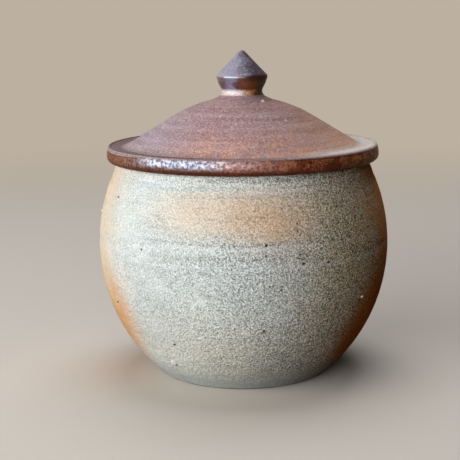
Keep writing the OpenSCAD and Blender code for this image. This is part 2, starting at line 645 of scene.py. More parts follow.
@dataclass(frozen=True)
class AshClay(ClayFinish):
    """Outside of the jar: sandy clay under a grey dusting of ash, flashed orange where the ash is thin."""

    name: str = "ash_dusted_clay"
    ash_lit: str = "#d9dccf"
    ash_cool: str = "#dbdecd"
    ash_shade_warm: str = "#8a754e"
    ash_low: str = "#dad3b2"
    ash_blue: str = "#b0bab6"
    ash_dim: str = "#8b897a"
    flash_left: str = "#eed9b8"
    flash_low: str = "#e1a461"
    flash_right: str = "#f6a462"
    ember: str = "#b2540e"
    peach: str = "#f2c594"
    apricot: str = "#e0953e"
    grain_pale: str = "#fefef9"
    grain_warm: str = "#fae5bf"
    grain_dark: str = "#5f5d4e"
    grain_shade_pit: str = "#4a3f2c"
    grain_straw: str = "#ecc596"
    grain_amber: str = "#e09a46"
    grain_rust: str = "#6e3d1c"
    iron: str = "#2c2420"
    streak_pitch: float = 2.2
    ragged_broad: float = 11.0
    ragged_small: float = 6.0
    low_flash: Fade = Fade(56.0, 22.0)
    right_flash: Fade = Fade(-25.0, 30.0)
    glow_across: Fade = Fade(-10.0, 40.0, 0.1, 1.0)
    glow_up: Fade = Fade(60.0, 36.0, 0.1, 1.0)
    glow_drift: Fade = Fade(0.0, 1.0, 0.6, 1.0)
    glow_back: Fade = Fade(4.0, 30.0, 1.0, 0.3)
    ash_base: Fade = Fade(48.0, 18.0, 0.0, 0.8)
    ash_shade_right: Fade = Fade(4.0, 40.0)
    ash_left: Fade = Fade(-6.0, -40.0)
    blue_share: float = 0.3
    dim_drift: Fade = Fade(0.35, 0.8, 0.0, 0.3)
    back_ash: Fade = Fade(4.0, 34.0, 0.0, 0.55)
    back_broad: Fade = Fade(0.15, 0.85)
    back_small: Fade = Fade(0.0, 0.8, 0.5, 1.0)
    dusk_streak: Fade = Fade(0.55, 1.0)
    dusk_up: Fade = Fade(40.0, 66.0, 0.06, 0.15)
    foot_haze: Fade = Fade(10.0, 3.0, 0.0, 0.5)
    foot_calm: Fade = Fade(2.0, 12.0, 0.4, 1.0)
    bare_sand: Fade = Fade(0.0, 0.8, 0.6, 1.0)
    flash_calm: Fade = Fade(0.0, 0.56, 1.0, 0.6)
    lit_side: Fade = Fade(-42.0, 4.0)
    shade_side: Fade = Fade(2.0, 38.0)
    shade_low: Fade = Fade(40.0, 16.0, 0.0, 0.42)
    pale_shares: Point = (0.5, 0.9)
    warm_flash: float = 0.6
    amber_side: Fade = Fade(-10.0, 30.0)
    bare_edge: Fade = Fade(0.7, 0.1)
    pits_lit: float = 0.3
    pits_turned: Fade = Fade(10.0, 40.0, 0.74, 0.9)
    dry: Fade = Fade(0.0, 1.0, 0.92, 0.7)
    gloss: float = 0.01
    spots: Spots = Spots(3.4, 0.28, 0.22, 0.7)
    ash_face: Patch = Patch((0.0, -50.0, 44.0), (60.0, 60.0, 90.0), 0.45)
    flash_share: float = 0.56
    flashes: tuple[Patch, ...] = (
        Patch((-3.0, -51.0, 68.2), (29.0, 22.0, 9.2), 0.5, 0.65),
        Patch((11.0, -51.5, 64.8), (15.0, 20.0, 9.4), 0.5, 0.75),
    )
    scorch_share: float = 0.95
    scorches: tuple[Patch, ...] = (
        Patch((-48.0, -18.0, 26.0), (13.0, 15.0, 17.0), 0.9, 0.85),
        Patch((50.0, -14.0, 20.0), (17.0, 25.0, 25.0), 0.6, 0.75),
        Patch((44.0, -23.0, 15.0), (12.0, 16.0, 15.0), 0.8, 0.85),
    )
    marks: tuple[Mark, ...] = (
        Mark(Patch((-27.0, -44.0, 75.9), (26.0, 24.0, 1.6), 0.3), "#b3bfbd", 0.4),
        Mark(Patch((46.0, -28.0, 51.8), (13.0, 16.0, 0.75), 0.1), "#2a241c", 0.85),
        # painted shade on the lower right of the front
        Mark(Patch((26.0, -40.0, 19.0), (20.0, 20.0, 14.0), 0.5, 0.75), "#655a45", 0.3),
        # painted light on the lower left of the front
        Mark(Patch((-22.0, -40.0, 14.0), (16.0, 16.0, 14.0), 0.5, 0.75), "#f6f2de", 0.4),
        # painted shadow of the lid's flange on the jar just below it, broader on the right
        Mark(Patch((4.0, -48.0, 78.4), (19.0, 30.0, 0.9), 0.3), "#56534a", 0.58),
        Mark(Patch((34.0, -34.0, 79.4), (24.0, 32.0, 2.0), 0.3), "#4a4640", 0.5),
        Mark(Patch((6.0, -50.0, 57.8), (48.0, 40.0, 0.8), 0.15), "#666a6b", 0.42),
        Mark(Patch((16.0, -48.0, 52.6), (50.0, 42.0, 1.2), 0.2), "#6a6356", 0.36),
        Mark(Patch((0.0, -50.0, 77.2), (48.0, 44.0, 0.8), 0.3), "#fcfcf7", 0.26),
        Mark(Patch((20.0, -46.0, 74.6), (28.0, 28.0, 0.8), 0.3), "#fcfcf7", 0.25),
        Mark(Patch((14.0, -50.0, 56.2), (44.0, 40.0, 0.9), 0.3), "#fcfcf7", 0.22),
        Mark(Patch((14.0, -50.0, 49.5), (50.0, 46.0, 1.2), 0.3), "#fcfcf7", 0.24),
    )

    def bare(self, bench: Bench, ground: Ground) -> Socket:
        """Mix the colour of the clay where no ash lies.

        Args:
            bench: Bench of the finish.
            ground: What the finish starts from.

        Returns:
            The colour.
        """
        ragged = bench.sway(ground.z, ground.broad, self.ragged_broad)
        ragged = bench.sway(ragged, ground.small, self.ragged_small)
        colour = bench.tones(bench.fade(ragged, self.low_flash), self.flash_left, self.flash_low)
        colour = bench.tint(bench.fade(ground.x, self.right_flash), colour, self.flash_right)
        glow = bench.product(
            bench.fade(ground.x, self.glow_across),
            bench.fade(ground.z, self.glow_up),
            bench.fade(ground.broad, self.glow_drift),
            bench.fade(ground.y, self.glow_back),
        )
        return bench.tint(glow, colour, self.ember)

    def ash(self, bench: Bench, ground: Ground) -> Socket:
        """Mix the colour of the ash, with painted shade darker and warmer on the right, away from the light,
        and painted light as a cool grey copy on the lit left.

        Args:
            bench: Bench of the finish.
            ground: What the finish starts from.

        Returns:
            The colour.
        """
        colour = bench.tones(bench.fade(ground.z, self.ash_base), self.ash_cool, self.ash_low)
        # painted shade: the ash turns darker and warmer towards the right, away from the light
        colour = bench.tint(bench.fade(ground.x, self.ash_shade_right), colour, self.ash_shade_warm)
        # painted light: a cool grey copy of the ash on the lit left
        colour = bench.tint(bench.fade(ground.x, self.ash_left), colour, self.ash_lit)
        colour = bench.tint(bench.product(ground.small, self.blue_share), colour, self.ash_blue)
        return bench.tint(bench.fade(ground.broad, self.dim_drift), colour, self.ash_dim)

    def dusting(self, bench: Bench, kit: EffectKit, ground: Ground) -> Socket:
        """Find the share of ash: all over the front, in drifts at the back and burnt off by the scorches.

        Args:
            bench: Bench of the finish.
            kit: The shared effects.
            ground: What the finish starts from.

        Returns:
            The share, from 0 to 1.
        """
        drift = bench.product(
            bench.fade(ground.y, self.back_ash),
            bench.fade(ground.broad, self.back_broad),
            bench.fade(ground.small, self.back_small),
        )
        dusted = bench.most(self.ash_face.mask(bench, kit, ground.place), drift)
        for scorch in self.scorches:
            burnt = bench.product(scorch.mask(bench, kit, ground.place), self.scorch_share)
            dusted = bench.product(dusted, bench.math("SUBTRACT", 1.0, burnt))
        return dusted

    def sand(self, bench: Bench, ground: Ground, colour: Feed, dusted: Feed, warmth: Feed,
             calm: Feed) -> Socket:
        """Lay pale grains and dark hollows over a colour, with painted light and shade: weaker grain on the
        lit left, and warmer grains and browner hollows on the shaded right and low down.

        Args:
            bench: Bench of the finish.
            ground: What the finish starts from.
            colour: The colour below.
            dusted: Share of ash.
            warmth: Share of the flashes.
            calm: How strong the grain is.

        Returns:
            The colour with its sand.
        """
        # painted light and shade of the grain's relief: fewer pale grains and weaker hollows on the lit left
        turned = bench.fade(ground.x, self.lit_side)
        right = bench.most(bench.fade(ground.x, self.shade_side), bench.fade(ground.z, self.shade_low))
        bared = bench.fade(dusted, self.bare_edge)
        pale = bench.product(ground.pale, bench.between(turned, *self.pale_shares), calm)
        # painted shade: grains warmer on the shaded right and low down, as well as in the flashes
        warm = bench.most(right, bench.product(warmth, self.warm_flash))
        tone = bench.tones(warm, self.grain_pale, self.grain_warm)
        bare_tone = bench.tones(bench.fade(ground.x, self.amber_side), self.grain_straw, self.grain_amber)
        colour = bench.blend(pale, colour, bench.blend(bared, tone, bare_tone))
        strength = bench.between(turned, self.pits_lit, bench.fade(ground.x, self.pits_turned))
        pits = bench.product(ground.pits, strength, calm)
        # painted shade: hollows browner on the shaded right and low down
        tone = bench.tones(right, self.grain_dark, self.grain_shade_pit)
        return bench.blend(pits, colour, bench.tint(bared, tone, self.grain_rust))

    def paint(self, bench: Bench, kit: EffectKit, shader: bpy.types.Node) -> None:
        """Feed the shader.

        Args:
            bench: Bench of the finish.
            kit: The shared effects.
            shader: The shader of the jar's outside.
        """
        ground = self.ground(bench, kit)
        lines = {"Place": ground.place, "Pitch": self.streak_pitch}
        streak = kit.use(bench, Effect.LINES, lines).outputs["Streak"]
        dusted = self.dusting(bench, kit, ground)
        colour = bench.blend(dusted, self.bare(bench, ground), self.ash(bench, ground))
        warmth: Feed = 0.0
        for flash, tone in zip(self.flashes, (self.peach, self.apricot)):
            share = bench.product(flash.mask(bench, kit, ground.place), self.flash_share)
            colour = bench.tint(share, colour, tone)
            warmth = bench.most(warmth, share)
        dusk = bench.product(bench.fade(streak, self.dusk_streak), bench.fade(ground.z, self.dusk_up))
        colour = bench.tint(dusk, colour, self.grain_dark)
        # the marks hold real lines and smears, and also a painted shadow under the lid, painted shade low on
        # the right and painted light low on the left
        for mark in self.marks:
            share = bench.product(mark.patch.mask(bench, kit, ground.place), mark.share)
            colour = bench.tint(share, colour, mark.tone)
        colour = bench.tint(bench.fade(ground.z, self.foot_haze), colour, self.ash_blue)
        calm = bench.product(
            bench.fade(ground.z, self.foot_calm),
            bench.fade(dusted, self.bare_sand),
            bench.fade(warmth, self.flash_calm),
        )
        colour = self.sand(bench, ground, colour, dusted, warmth, calm)
        colour = bench.tint(self.spots.mask(bench, kit, ground.place), colour, self.iron)

        bench.feed(shader.inputs["Base Color"], colour)
        bench.feed(shader.inputs["Roughness"], bench.fade(ground.height, self.dry))
        shader.inputs["Specular IOR Level"].default_value = self.gloss
        self.bump(bench, shader, bench.product(ground.height, calm), self.grain_depth)


@dataclass(frozen=True)
class BareClay(Finish):
    """Inside of the jar, its base and the underside of the lid: bare fired clay."""

    name: str = "bare_clay"
    clay: str = "#a98a6f"
    toast: str = "#8d6246"
    grain_pale: str = "#cdbba6"
    grain_dark: str = "#5b4536"
    iron: str = "#3a2a22"
    drift_size: float = 22.0
    streak_pitch: float = 1.8
    streak_share: float = 0.25
    grain_size: float = 0.4
    grain_share: float = 0.4
    grain_depth: float = 0.07
    spots: Spots = Spots(4.0, 0.35, 0.3, 0.8)
    dry: Fade = Fade(0.0, 1.0, 0.95, 0.78)

    def paint(self, bench: Bench, kit: EffectKit, shader: bpy.types.Node) -> None:
        """Feed the shader.

        Args:
            bench: Bench of the finish.
            kit: The shared effects.
            shader: The shader of the bare clay.
        """
        place = bench.place()
        drift = kit.use(bench, Effect.CLOUDS, {"Place": place, "Size": self.drift_size}).outputs["Shade"]
        streak = kit.use(bench, Effect.LINES, {"Place": place, "Pitch": self.streak_pitch}).outputs["Streak"]
        grain = kit.use(bench, Effect.GRAIN, {"Place": place, "Size": self.grain_size})
        pale = bench.product(grain.outputs["Pale"], self.grain_share)
        pits = bench.product(grain.outputs["Pits"], self.grain_share)
        colour = bench.tones(drift, self.clay, self.toast)
        colour = bench.tint(bench.product(streak, self.streak_share), colour, self.grain_pale)
        colour = bench.tint(pale, colour, self.grain_pale)
        colour = bench.tint(pits, colour, self.grain_dark)
        colour = bench.tint(self.spots.mask(bench, kit, place), colour, self.iron)
        bench.feed(shader.inputs["Base Color"], colour)
        bench.feed(shader.inputs["Roughness"], bench.fade(grain.outputs["Height"], self.dry))
        self.bump(bench, shader, grain.outputs["Height"], self.grain_depth)


@dataclass(frozen=True)
class IronWash(ClayFinish):
    """Upper side of the lid: iron wash, dry on the dome and melted to a shine on the edge of the flange."""

    name: str = "iron_wash"
    plum: str = "#a67973"
    mauve: str = "#a697a1"
    tan: str = "#f6b88e"
    ring: str = "#735c5a"
    ring_sheen: str = "#fff1e4"
    ember: str = "#de986a"
    foot: str = "#9c857c"
    mahogany: str = "#5c382d"
    walnut: str = "#7d4a36"
    highlight_blue: str = "#565a7e"
    amber: str = "#a54c30"
    russet: str = "#d38443"
    rust_and_shade: str = "#4f2212"
    honey: str = "#c27c48"
    rose_glint: str = "#a65c49"
    lip_highlight: str = "#b0928d"
    lip_front: str = "#8a625c"
    lip_right: str = "#8d5c46"
    # dark line colour: the hollows of the grain, and also painted shade on the crest and in the crease under
    # the lip
    line: str = "#352326"
    grain_pale: str = "#dcc6bd"
    grain_dark: str = "#5d4541"
    broad_size: float = 24.0
    small_size: float = 5.0
    grain_size: float = 0.27
    grain_depth: float = 0.2
    peel_size: float = 0.44
    peel_gain: float = 2.0
    mauve_sheen_side: Fade = Fade(-5.0, -45.0, 0.0, 0.9)
    tan_light_side: Fade = Fade(5.0, 45.0, 0.0, 0.9)
    mauve_drift: float = 0.3
    ember_patch: Patch = Patch((10.0, -42.0, 88.0), (42.0, 15.0, 6.5), 0.5, 0.5)
    ember_drift: Fade = Fade(0.1, 0.9, 0.15, 0.5)
    foot_band: Fade = Fade(38.0, 44.0)
    foot_side: Fade = Fade(-20.0, -36.0, 0.0, 0.75)
    ring_band: Fade = Fade(44.4, 45.9)
    ring_drift: Fade = Fade(41.1, 45.6)
    ring_drift_side: Fade = Fade(8.0, 34.0)
    ring_sand: Fade = Fade(0.0, 30.0, 0.5, 1.0)
    ring_sheen_side: Fade = Fade(4.0, 36.0)
    ring_share: Fade = Fade(4.0, 36.0, 0.8, 1.0)
    line_pitch: float = 1.1
    line_dark: Fade = Fade(0.55, 1.0, 0.0, 0.22)
    line_pale: Fade = Fade(0.4, 0.0, 0.0, 0.16)
    speck_share: Fade = Fade(0.0, 1.0, 0.2, 0.65)
    pit_share: float = 0.4
    lip_low: Fade = Fade(-47.0, -30.0, 84.6, 85.3)
    lip_up: Fade = Fade(86.05, 85.8)
    lip_band: Fade = Fade(49.6, 50.2)
    lip_front_side: Fade = Fade(-34.0, -6.0)
    lip_right_side: Fade = Fade(8.0, 30.0)
    lip_pits: float = 0.4
    lip_grains: float = 0.3
    lip_share: float = 0.85
    fold_low: Fade = Fade(85.25, 85.4)
    fold_high: Fade = Fade(85.65, 85.5, 0.0, 0.4)
    crest_up: Fade = Fade(85.9, 86.1)
    crest_side: Fade = Fade(-24.0, -4.0, 0.5, 0.25)
    crest_band: Fade = Fade(48.0, 49.8)
    face_below: Fade = Fade(0.35, 0.05)
    face_band: Fade = Fade(46.6, 47.6)
    patchy: Fade = Fade(0.0, 1.0, 0.55, 1.0)
    warm_side: Fade = Fade(4.0, 24.0)
    end_side: Fade = Fade(-36.0, -44.0)
    front_left: Fade = Fade(-16.0, -2.0)
    front_right: Fade = Fade(26.0, 10.0)
    front_up: Fade = Fade(81.0, 82.4, 0.4, 1.0)
    sheen_left: Fade = Fade(-38.0, -28.0)
    sheen_right: Fade = Fade(-2.0, -12.0)
    sheen_up: Fade = Fade(82.2, 83.2)
    russet_side: Fade = Fade(26.0, 42.0)
    sparks_right: Fade = Fade(-12.0, 26.0, 0.1, 0.5)
    sparks_left: Fade = Fade(-34.0, -42.0, 0.1, 0.36)
    face_pits: Fade = Fade(0.0, 20.0, 0.7, 0.65)
    blotch_cloud: Fade = Fade(0.4, 0.75)
    blotch_side: Fade = Fade(4.0, 24.0, 0.3, 0.75)
    low_face_shade: Fade = Fade(83.4, 80.7, 0.0, 0.6)
    crease_up: Fade = Fade(-0.5, -0.05)
    crease_side: Fade = Fade(4.0, 16.0, 0.15, 0.55)
    dry: Fade = Fade(0.0, 1.0, 0.66, 0.5)
    ring_rough: float = 0.46
    melt_right: Fade = Fade(22.0, 8.0)
    melt_up: Fade = Fade(81.2, 82.8)
    melt_left: Fade = Fade(-48.0, -38.0, 0.15, 1.0)
    melt_rough: float = 0.26
    ripple: Fade = Fade(0.4, 0.58, 0.2, 1.0)
    coat_rough: float = 0.28
    coat_ior: float = 2.4
    gloss: float = 0.05

    def dome(self, bench: Bench, kit: EffectKit, ground: Ground, radius: Feed) -> Socket:
        """Mix the colour of the dry wash on the dome, with a painted mauve sheen on the left and painted tan
        light on the right.

        Args:
            bench: Bench of the finish.
            kit: The shared effects.
            ground: What the finish starts from.
            radius: Distance from the axis.

        Returns:
            The colour.
        """
        # painted sheen: mauve on the left, towards the window
        colour = bench.tones(bench.fade(ground.x, self.mauve_sheen_side), self.plum, self.mauve)
        # painted light: tan on the right
        colour = bench.tint(bench.fade(ground.x, self.tan_light_side), colour, self.tan)
        colour = bench.tint(bench.product(ground.broad, self.mauve_drift), colour, self.mauve)
        glow = self.ember_patch.mask(bench, kit, ground.place)
        glow = bench.product(glow, bench.fade(ground.small, self.ember_drift))
        colour = bench.tint(glow, colour, self.ember)
        foot = bench.product(bench.fade(radius, self.foot_band), bench.fade(ground.x, self.foot_side))
        return bench.tint(foot, colour, self.foot)

    def sanded(self, bench: Bench, kit: EffectKit, ground: Ground, peel: bpy.types.Node, colour: Feed,
               sandy: Feed) -> Socket:
        """Lay turning lines, pale grains and dark hollows over a colour.

        Args:
            bench: Bench of the finish.
            kit: The shared effects.
            ground: What the finish starts from.
            peel: The coarser grain.
            colour: The colour below.
            sandy: How strong the grain is.

        Returns:
            The colour with its lines and sand.
        """
        lines = {"Place": ground.place, "Pitch": self.line_pitch}
        streak = kit.use(bench, Effect.LINES, lines).outputs["Streak"]
        colour = bench.tint(bench.fade(streak, self.line_dark), colour, self.grain_dark)
        colour = bench.tint(bench.fade(streak, self.line_pale), colour, self.grain_pale)
        specks = bench.product(ground.pale, bench.fade(peel.outputs["Pale"], self.speck_share), sandy)
        colour = bench.tint(specks, colour, self.grain_pale)
        return bench.tint(bench.product(ground.pits, sandy, self.pit_share), colour, self.grain_dark)

    def lipped(self, bench: Bench, ground: Ground, peel: bpy.types.Node, radius: Feed,
               colour: Feed) -> Socket:
        """Lay the lip of the flange, pale on the left as a painted highlight, and the dark line on its crest,
        a painted shade strongest on the left, over a colour.

        Args:
            bench: Bench of the finish.
            ground: What the finish starts from.
            peel: The coarser grain.
            radius: Distance from the axis.
            colour: The colour below.

        Returns:
            The colour with its lip.
        """
        # painted highlight: the lip is palest on the left, towards the light, and darker to the right
        bead = bench.tones(bench.fade(ground.x, self.lip_front_side), self.lip_highlight, self.lip_front)
        bead = bench.tint(bench.fade(ground.x, self.lip_right_side), bead, self.lip_right)
        bead = bench.tint(bench.product(peel.outputs["Pits"], self.lip_pits), bead, self.line)
        bead = bench.tint(bench.product(ground.pale, self.lip_grains), bead, self.grain_pale)
        fold = bench.product(bench.fade(ground.z, self.fold_low), bench.fade(ground.z, self.fold_high))
        bead = bench.tint(fold, bead, self.line)
        on_lip = bench.product(bench.fade(ground.z, self.lip_up), bench.fade(radius, self.lip_band))
        colour = bench.blend(bench.product(on_lip, self.lip_share), colour, bead)
        # painted shade: the dark line on the crest, strongest on the left
        crest_shade = bench.product(
            bench.fade(ground.z, self.crest_up),
            bench.fade(ground.x, self.crest_side),
            bench.fade(radius, self.crest_band),
        )
        return bench.tint(crest_shade, colour, self.line)

    def glaze(self, bench: Bench, ground: Ground, peel: bpy.types.Node, above: Feed) -> Socket:
        """Mix the colour of the melted wash on the edge of the flange, with painted light and shade: a blue
        highlight on the upper left, a rose glint in front, glints in the grain, and shade low on the face and
        in the crease under the lip.

        Args:
            bench: Bench of the finish.
            ground: What the finish starts from.
            peel: The coarser grain.
            above: Height above the lower end of the lip.

        Returns:
            The colour.
        """
        x, z = ground.x, ground.z
        sheen = bench.product(bench.fade(x, self.sheen_left), bench.fade(x, self.sheen_right))
        sheen = bench.product(sheen, bench.fade(z, self.sheen_up))
        front = bench.product(bench.fade(x, self.front_left), bench.fade(x, self.front_right))
        front = bench.product(front, bench.fade(z, self.front_up))
        patchy = bench.fade(ground.small, self.patchy)
        warm_tone = bench.tones(bench.fade(x, self.russet_side), self.amber, self.russet)
        sparks = bench.most(bench.fade(x, self.sparks_right), bench.fade(x, self.sparks_left))
        pits = bench.product(peel.outputs["Pits"], bench.fade(x, self.face_pits))
        blotch = bench.product(bench.fade(ground.small, self.blotch_cloud), bench.fade(x, self.blotch_side))
        # painted shade in the crease under the lip, stronger on the right
        crease_shade = bench.product(bench.fade(above, self.crease_up), bench.fade(x, self.crease_side))
        # painted highlight: blue on the upper left of the face, where the window is reflected
        colour = bench.tones(sheen, self.mahogany, self.highlight_blue)
        # painted glint: rose in front, on the upper face
        colour = bench.tint(front, colour, self.rose_glint)
        colour = bench.tint(bench.product(bench.fade(x, self.end_side), patchy), colour, self.walnut)
        colour = bench.blend(bench.product(bench.fade(x, self.warm_side), patchy), colour, warm_tone)
        # painted glints: honey specks in the grain, strongest on the right
        colour = bench.tint(bench.product(peel.outputs["Pale"], sparks), colour, self.honey)
        colour = bench.tint(pits, colour, self.line)
        colour = bench.tint(blotch, colour, self.rust_and_shade)
        # painted shade: darker low on the face, where it turns under
        colour = bench.tint(bench.fade(z, self.low_face_shade), colour, self.rust_and_shade)
        return bench.tint(crease_shade, colour, self.line)

    def paint(self, bench: Bench, kit: EffectKit, shader: bpy.types.Node) -> None:
        """Feed the shader.

        Args:
            bench: Bench of the finish.
            kit: The shared effects.
            shader: The shader of the lid's upper side.
        """
        ground = self.ground(bench, kit)
        x, z, height = ground.x, ground.z, ground.height
        radius = bench.radius(ground.place)
        peel = kit.use(bench, Effect.GRAIN, {"Place": ground.place, "Size": self.peel_size})
        drift = bench.product(bench.fade(radius, self.ring_drift), bench.fade(x, self.ring_drift_side))
        on_ring = bench.most(bench.fade(radius, self.ring_band), drift)
        sandy = bench.between(on_ring, 1.0, bench.fade(x, self.ring_sand))
        above = bench.math("SUBTRACT", z, bench.fade(x, self.lip_low))
        on_face = bench.product(bench.fade(above, self.face_below), bench.fade(radius, self.face_band))
        # painted shade and sheen on the ring: dark on the left, near white on the right, where the ring band
        # also reaches further in
        band = bench.tones(bench.fade(x, self.ring_sheen_side), self.ring, self.ring_sheen)
        colour = self.dome(bench, kit, ground, radius)
        colour = bench.blend(bench.product(on_ring, bench.fade(x, self.ring_share)), colour, band)
        colour = self.sanded(bench, kit, ground, peel, colour, sandy)
        colour = self.lipped(bench, ground, peel, radius, colour)
        colour = bench.blend(on_face, colour, self.glaze(bench, ground, peel, above))

        bench.feed(shader.inputs["Base Color"], colour)
        dry = bench.between(on_ring, bench.fade(height, self.dry), self.ring_rough)
        melted = bench.product(on_face, bench.fade(x, self.melt_right), bench.fade(z, self.melt_up))
        melted = bench.product(melted, bench.fade(x, self.melt_left))
        bench.feed(shader.inputs["Roughness"], bench.between(melted, dry, self.melt_rough))
        bench.feed(shader.inputs["Coat Weight"], bench.product(melted, bench.fade(height, self.ripple)))
        shader.inputs["Coat Roughness"].default_value = self.coat_rough
        shader.inputs["Coat IOR"].default_value = self.coat_ior
        shader.inputs["Specular IOR Level"].default_value = self.gloss
        peeled = bench.product(height, self.peel_gain)
        raised = bench.between(on_face, bench.product(height, sandy), peeled)
        self.bump(bench, shader, raised, self.grain_depth)


@dataclass(frozen=True)
class KnobWash(ClayFinish):
    """The knob: iron wash, dry and dark on the cone, melted and red below its girdle."""

    name: str = "knob_iron_wash"
    slate_sheen: str = "#9f98a4"
    plum: str = "#47343a"
    violet_reflection: str = "#9790ab"
    oxblood: str = "#462822"
    amber: str = "#924f25"
    honey: str = "#d6966a"
    olive_reflection: str = "#564c31"
    blush_highlight: str = "#f6e0d6"
    grain_pale: str = "#b9b2ba"
    grain_dark: str = "#43353a"
    broad_size: float = 5.0
    small_size: float = 1.3
    grain_size: float = 0.26
    grain_depth: float = 0.07
    torn_broad: float = 2.0
    torn_small: float = 1.2
    cone_shade_side: Fade = Fade(-4.0, 5.0, 0.05, 1.0)
    pale_share: float = 0.3
    pit_share: float = 0.4
    reflection_side: Fade = Fade(0.5, -4.5, 0.0, 0.85)
    dark_end: Fade = Fade(-4.0, -7.5, 0.0, 0.9)
    amber_side: Fade = Fade(-2.5, 4.5, 0.0, 0.72)
    olive_side: Fade = Fade(3.0, 8.5, 0.0, 0.9)
    rim_up: Fade = Fade(108.33, 110.93)
    rim_side: Fade = Fade(-1.0, 3.0)
    blush_side: Fade = Fade(2.0, -2.0)
    foot_olive: Fade = Fade(2.0, 6.5)
    neck_up: Fade = Fade(107.0, 105.6, 0.0, 0.9)
    melt_pits: float = 0.5
    lift_side: Fade = Fade(-1.0, 5.0, 0.0, 0.8)
    girdle_line: Fade = Fade(111.43, 110.73)
    girdle_height: float = 111.33
    wet_up: Fade = Fade(112.73, 111.73)
    wet_side: Fade = Fade(4.0, -1.0)
    wet_edge: Fade = Fade(1.2, 2.4, 1.0, 0.45)
    wet_rough: float = 0.24
    dry: Fade = Fade(0.0, 1.0, 0.52, 0.38)
    coat_rough: float = 0.18
    coat_ior: float = 1.95
    gloss: float = 0.08

    def cone(self, bench: Bench, ground: Ground, torn: Feed) -> Socket:
        """Mix the colour of the dry cone: pale bluish slate on the lit left as a painted sheen, dark plum on
        the right as painted shade.

        Args:
            bench: Bench of the finish.
            ground: What the finish starts from.
            torn: Place across the knob, moved by the drifts.

        Returns:
            The colour.
        """
        # painted sheen on the lit left and painted shade on the right
        colour = bench.tones(bench.fade(torn, self.cone_shade_side), self.slate_sheen, self.plum)
        colour = bench.tint(bench.product(ground.pale, self.pale_share), colour, self.grain_pale)
        return bench.tint(bench.product(ground.pits, self.pit_share), colour, self.grain_dark)

    def melt(self, bench: Bench, ground: Ground, torn: Feed) -> Socket:
        """Mix the colour of the melted wash below the girdle and of the neck, with painted light and shade: a
        violet reflection on the left, a dark olive reflection on the right, shade just under the girdle on
        the right, and a pale highlight on the left of the neck.

        Args:
            bench: Bench of the finish.
            ground: What the finish starts from.
            torn: Place across the knob, moved by the drifts.

        Returns:
            The colour.
        """
        # painted reflection: violet on the left below the girdle
        colour = bench.tones(bench.fade(torn, self.reflection_side), self.oxblood, self.violet_reflection)
        colour = bench.tint(bench.fade(ground.x, self.dark_end), colour, self.oxblood)
        colour = bench.tint(bench.fade(torn, self.amber_side), colour, self.amber)
        # painted dark reflection: olive on the right below the girdle
        colour = bench.tint(bench.fade(torn, self.olive_side), colour, self.olive_reflection)
        # painted shade just under the girdle on the right
        rim = bench.product(bench.fade(ground.z, self.rim_up), bench.fade(ground.x, self.rim_side))
        colour = bench.tint(rim, colour, self.oxblood)
        # painted highlight: pale blush on the left of the neck
        foot = bench.tones(bench.fade(torn, self.blush_side), self.honey, self.blush_highlight)
        # painted dark reflection: olive on the right of the neck
        foot = bench.tint(bench.fade(torn, self.foot_olive), foot, self.olive_reflection)
        colour = bench.blend(bench.fade(ground.z, self.neck_up), colour, foot)
        return bench.tint(bench.product(ground.pits, self.melt_pits), colour, self.oxblood)

    def paint(self, bench: Bench, kit: EffectKit, shader: bpy.types.Node) -> None:
        """Feed the shader.

        Args:
            bench: Bench of the finish.
            kit: The shared effects.
            shader: The shader of the knob.
        """
        ground = self.ground(bench, kit)
        torn = bench.sway(ground.x, ground.broad, self.torn_broad)
        torn = bench.sway(torn, ground.small, self.torn_small)
        lifted = bench.math("SUBTRACT", ground.z, bench.fade(ground.x, self.lift_side))
        below = bench.fade(lifted, self.girdle_line)
        colour = bench.blend(below, self.cone(bench, ground, torn), self.melt(bench, ground, torn))
        edge = bench.math("ABSOLUTE", bench.math("SUBTRACT", ground.z, self.girdle_height))
        wet = bench.product(
            bench.fade(ground.z, self.wet_up),
            bench.fade(ground.x, self.wet_side),
            bench.fade(edge, self.wet_edge),
        )
        dry = bench.fade(ground.height, self.dry)

        bench.feed(shader.inputs["Base Color"], colour)
        bench.feed(shader.inputs["Roughness"], bench.between(wet, dry, self.wet_rough))
        bench.feed(shader.inputs["Coat Weight"], wet)
        shader.inputs["Coat Roughness"].default_value = self.coat_rough
        shader.inputs["Coat IOR"].default_value = self.coat_ior
        shader.inputs["Specular IOR Level"].default_value = self.gloss
        self.bump(bench, shader, ground.height, self.grain_depth)


@dataclass(frozen=True)
class Feldspar(Finish):
    """White stones in the clay that the fire glazed over."""

    name: str = "feldspar_stone"
    white: str = "#e9e4da"
    cream: str = "#cfc2ae"
    cloud_size: float = 0.9
    cloud_depth: float = 0.05
    dry: Fade = Fade(0.0, 1.0, 0.4, 0.65)

    def paint(self, bench: Bench, kit: EffectKit, shader: bpy.types.Node) -> None:
        """Feed the shader.

        Args:
            bench: Bench of the finish.
            kit: The shared effects.
            shader: The shader of the stones.
        """
        feeds = {"Place": bench.place(), "Size": self.cloud_size}
        cloud = kit.use(bench, Effect.CLOUDS, feeds).outputs["Shade"]
        bench.feed(shader.inputs["Base Color"], bench.tones(cloud, self.white, self.cream))
        bench.feed(shader.inputs["Roughness"], bench.fade(cloud, self.dry))
        self.bump(bench, shader, cloud, self.cloud_depth)


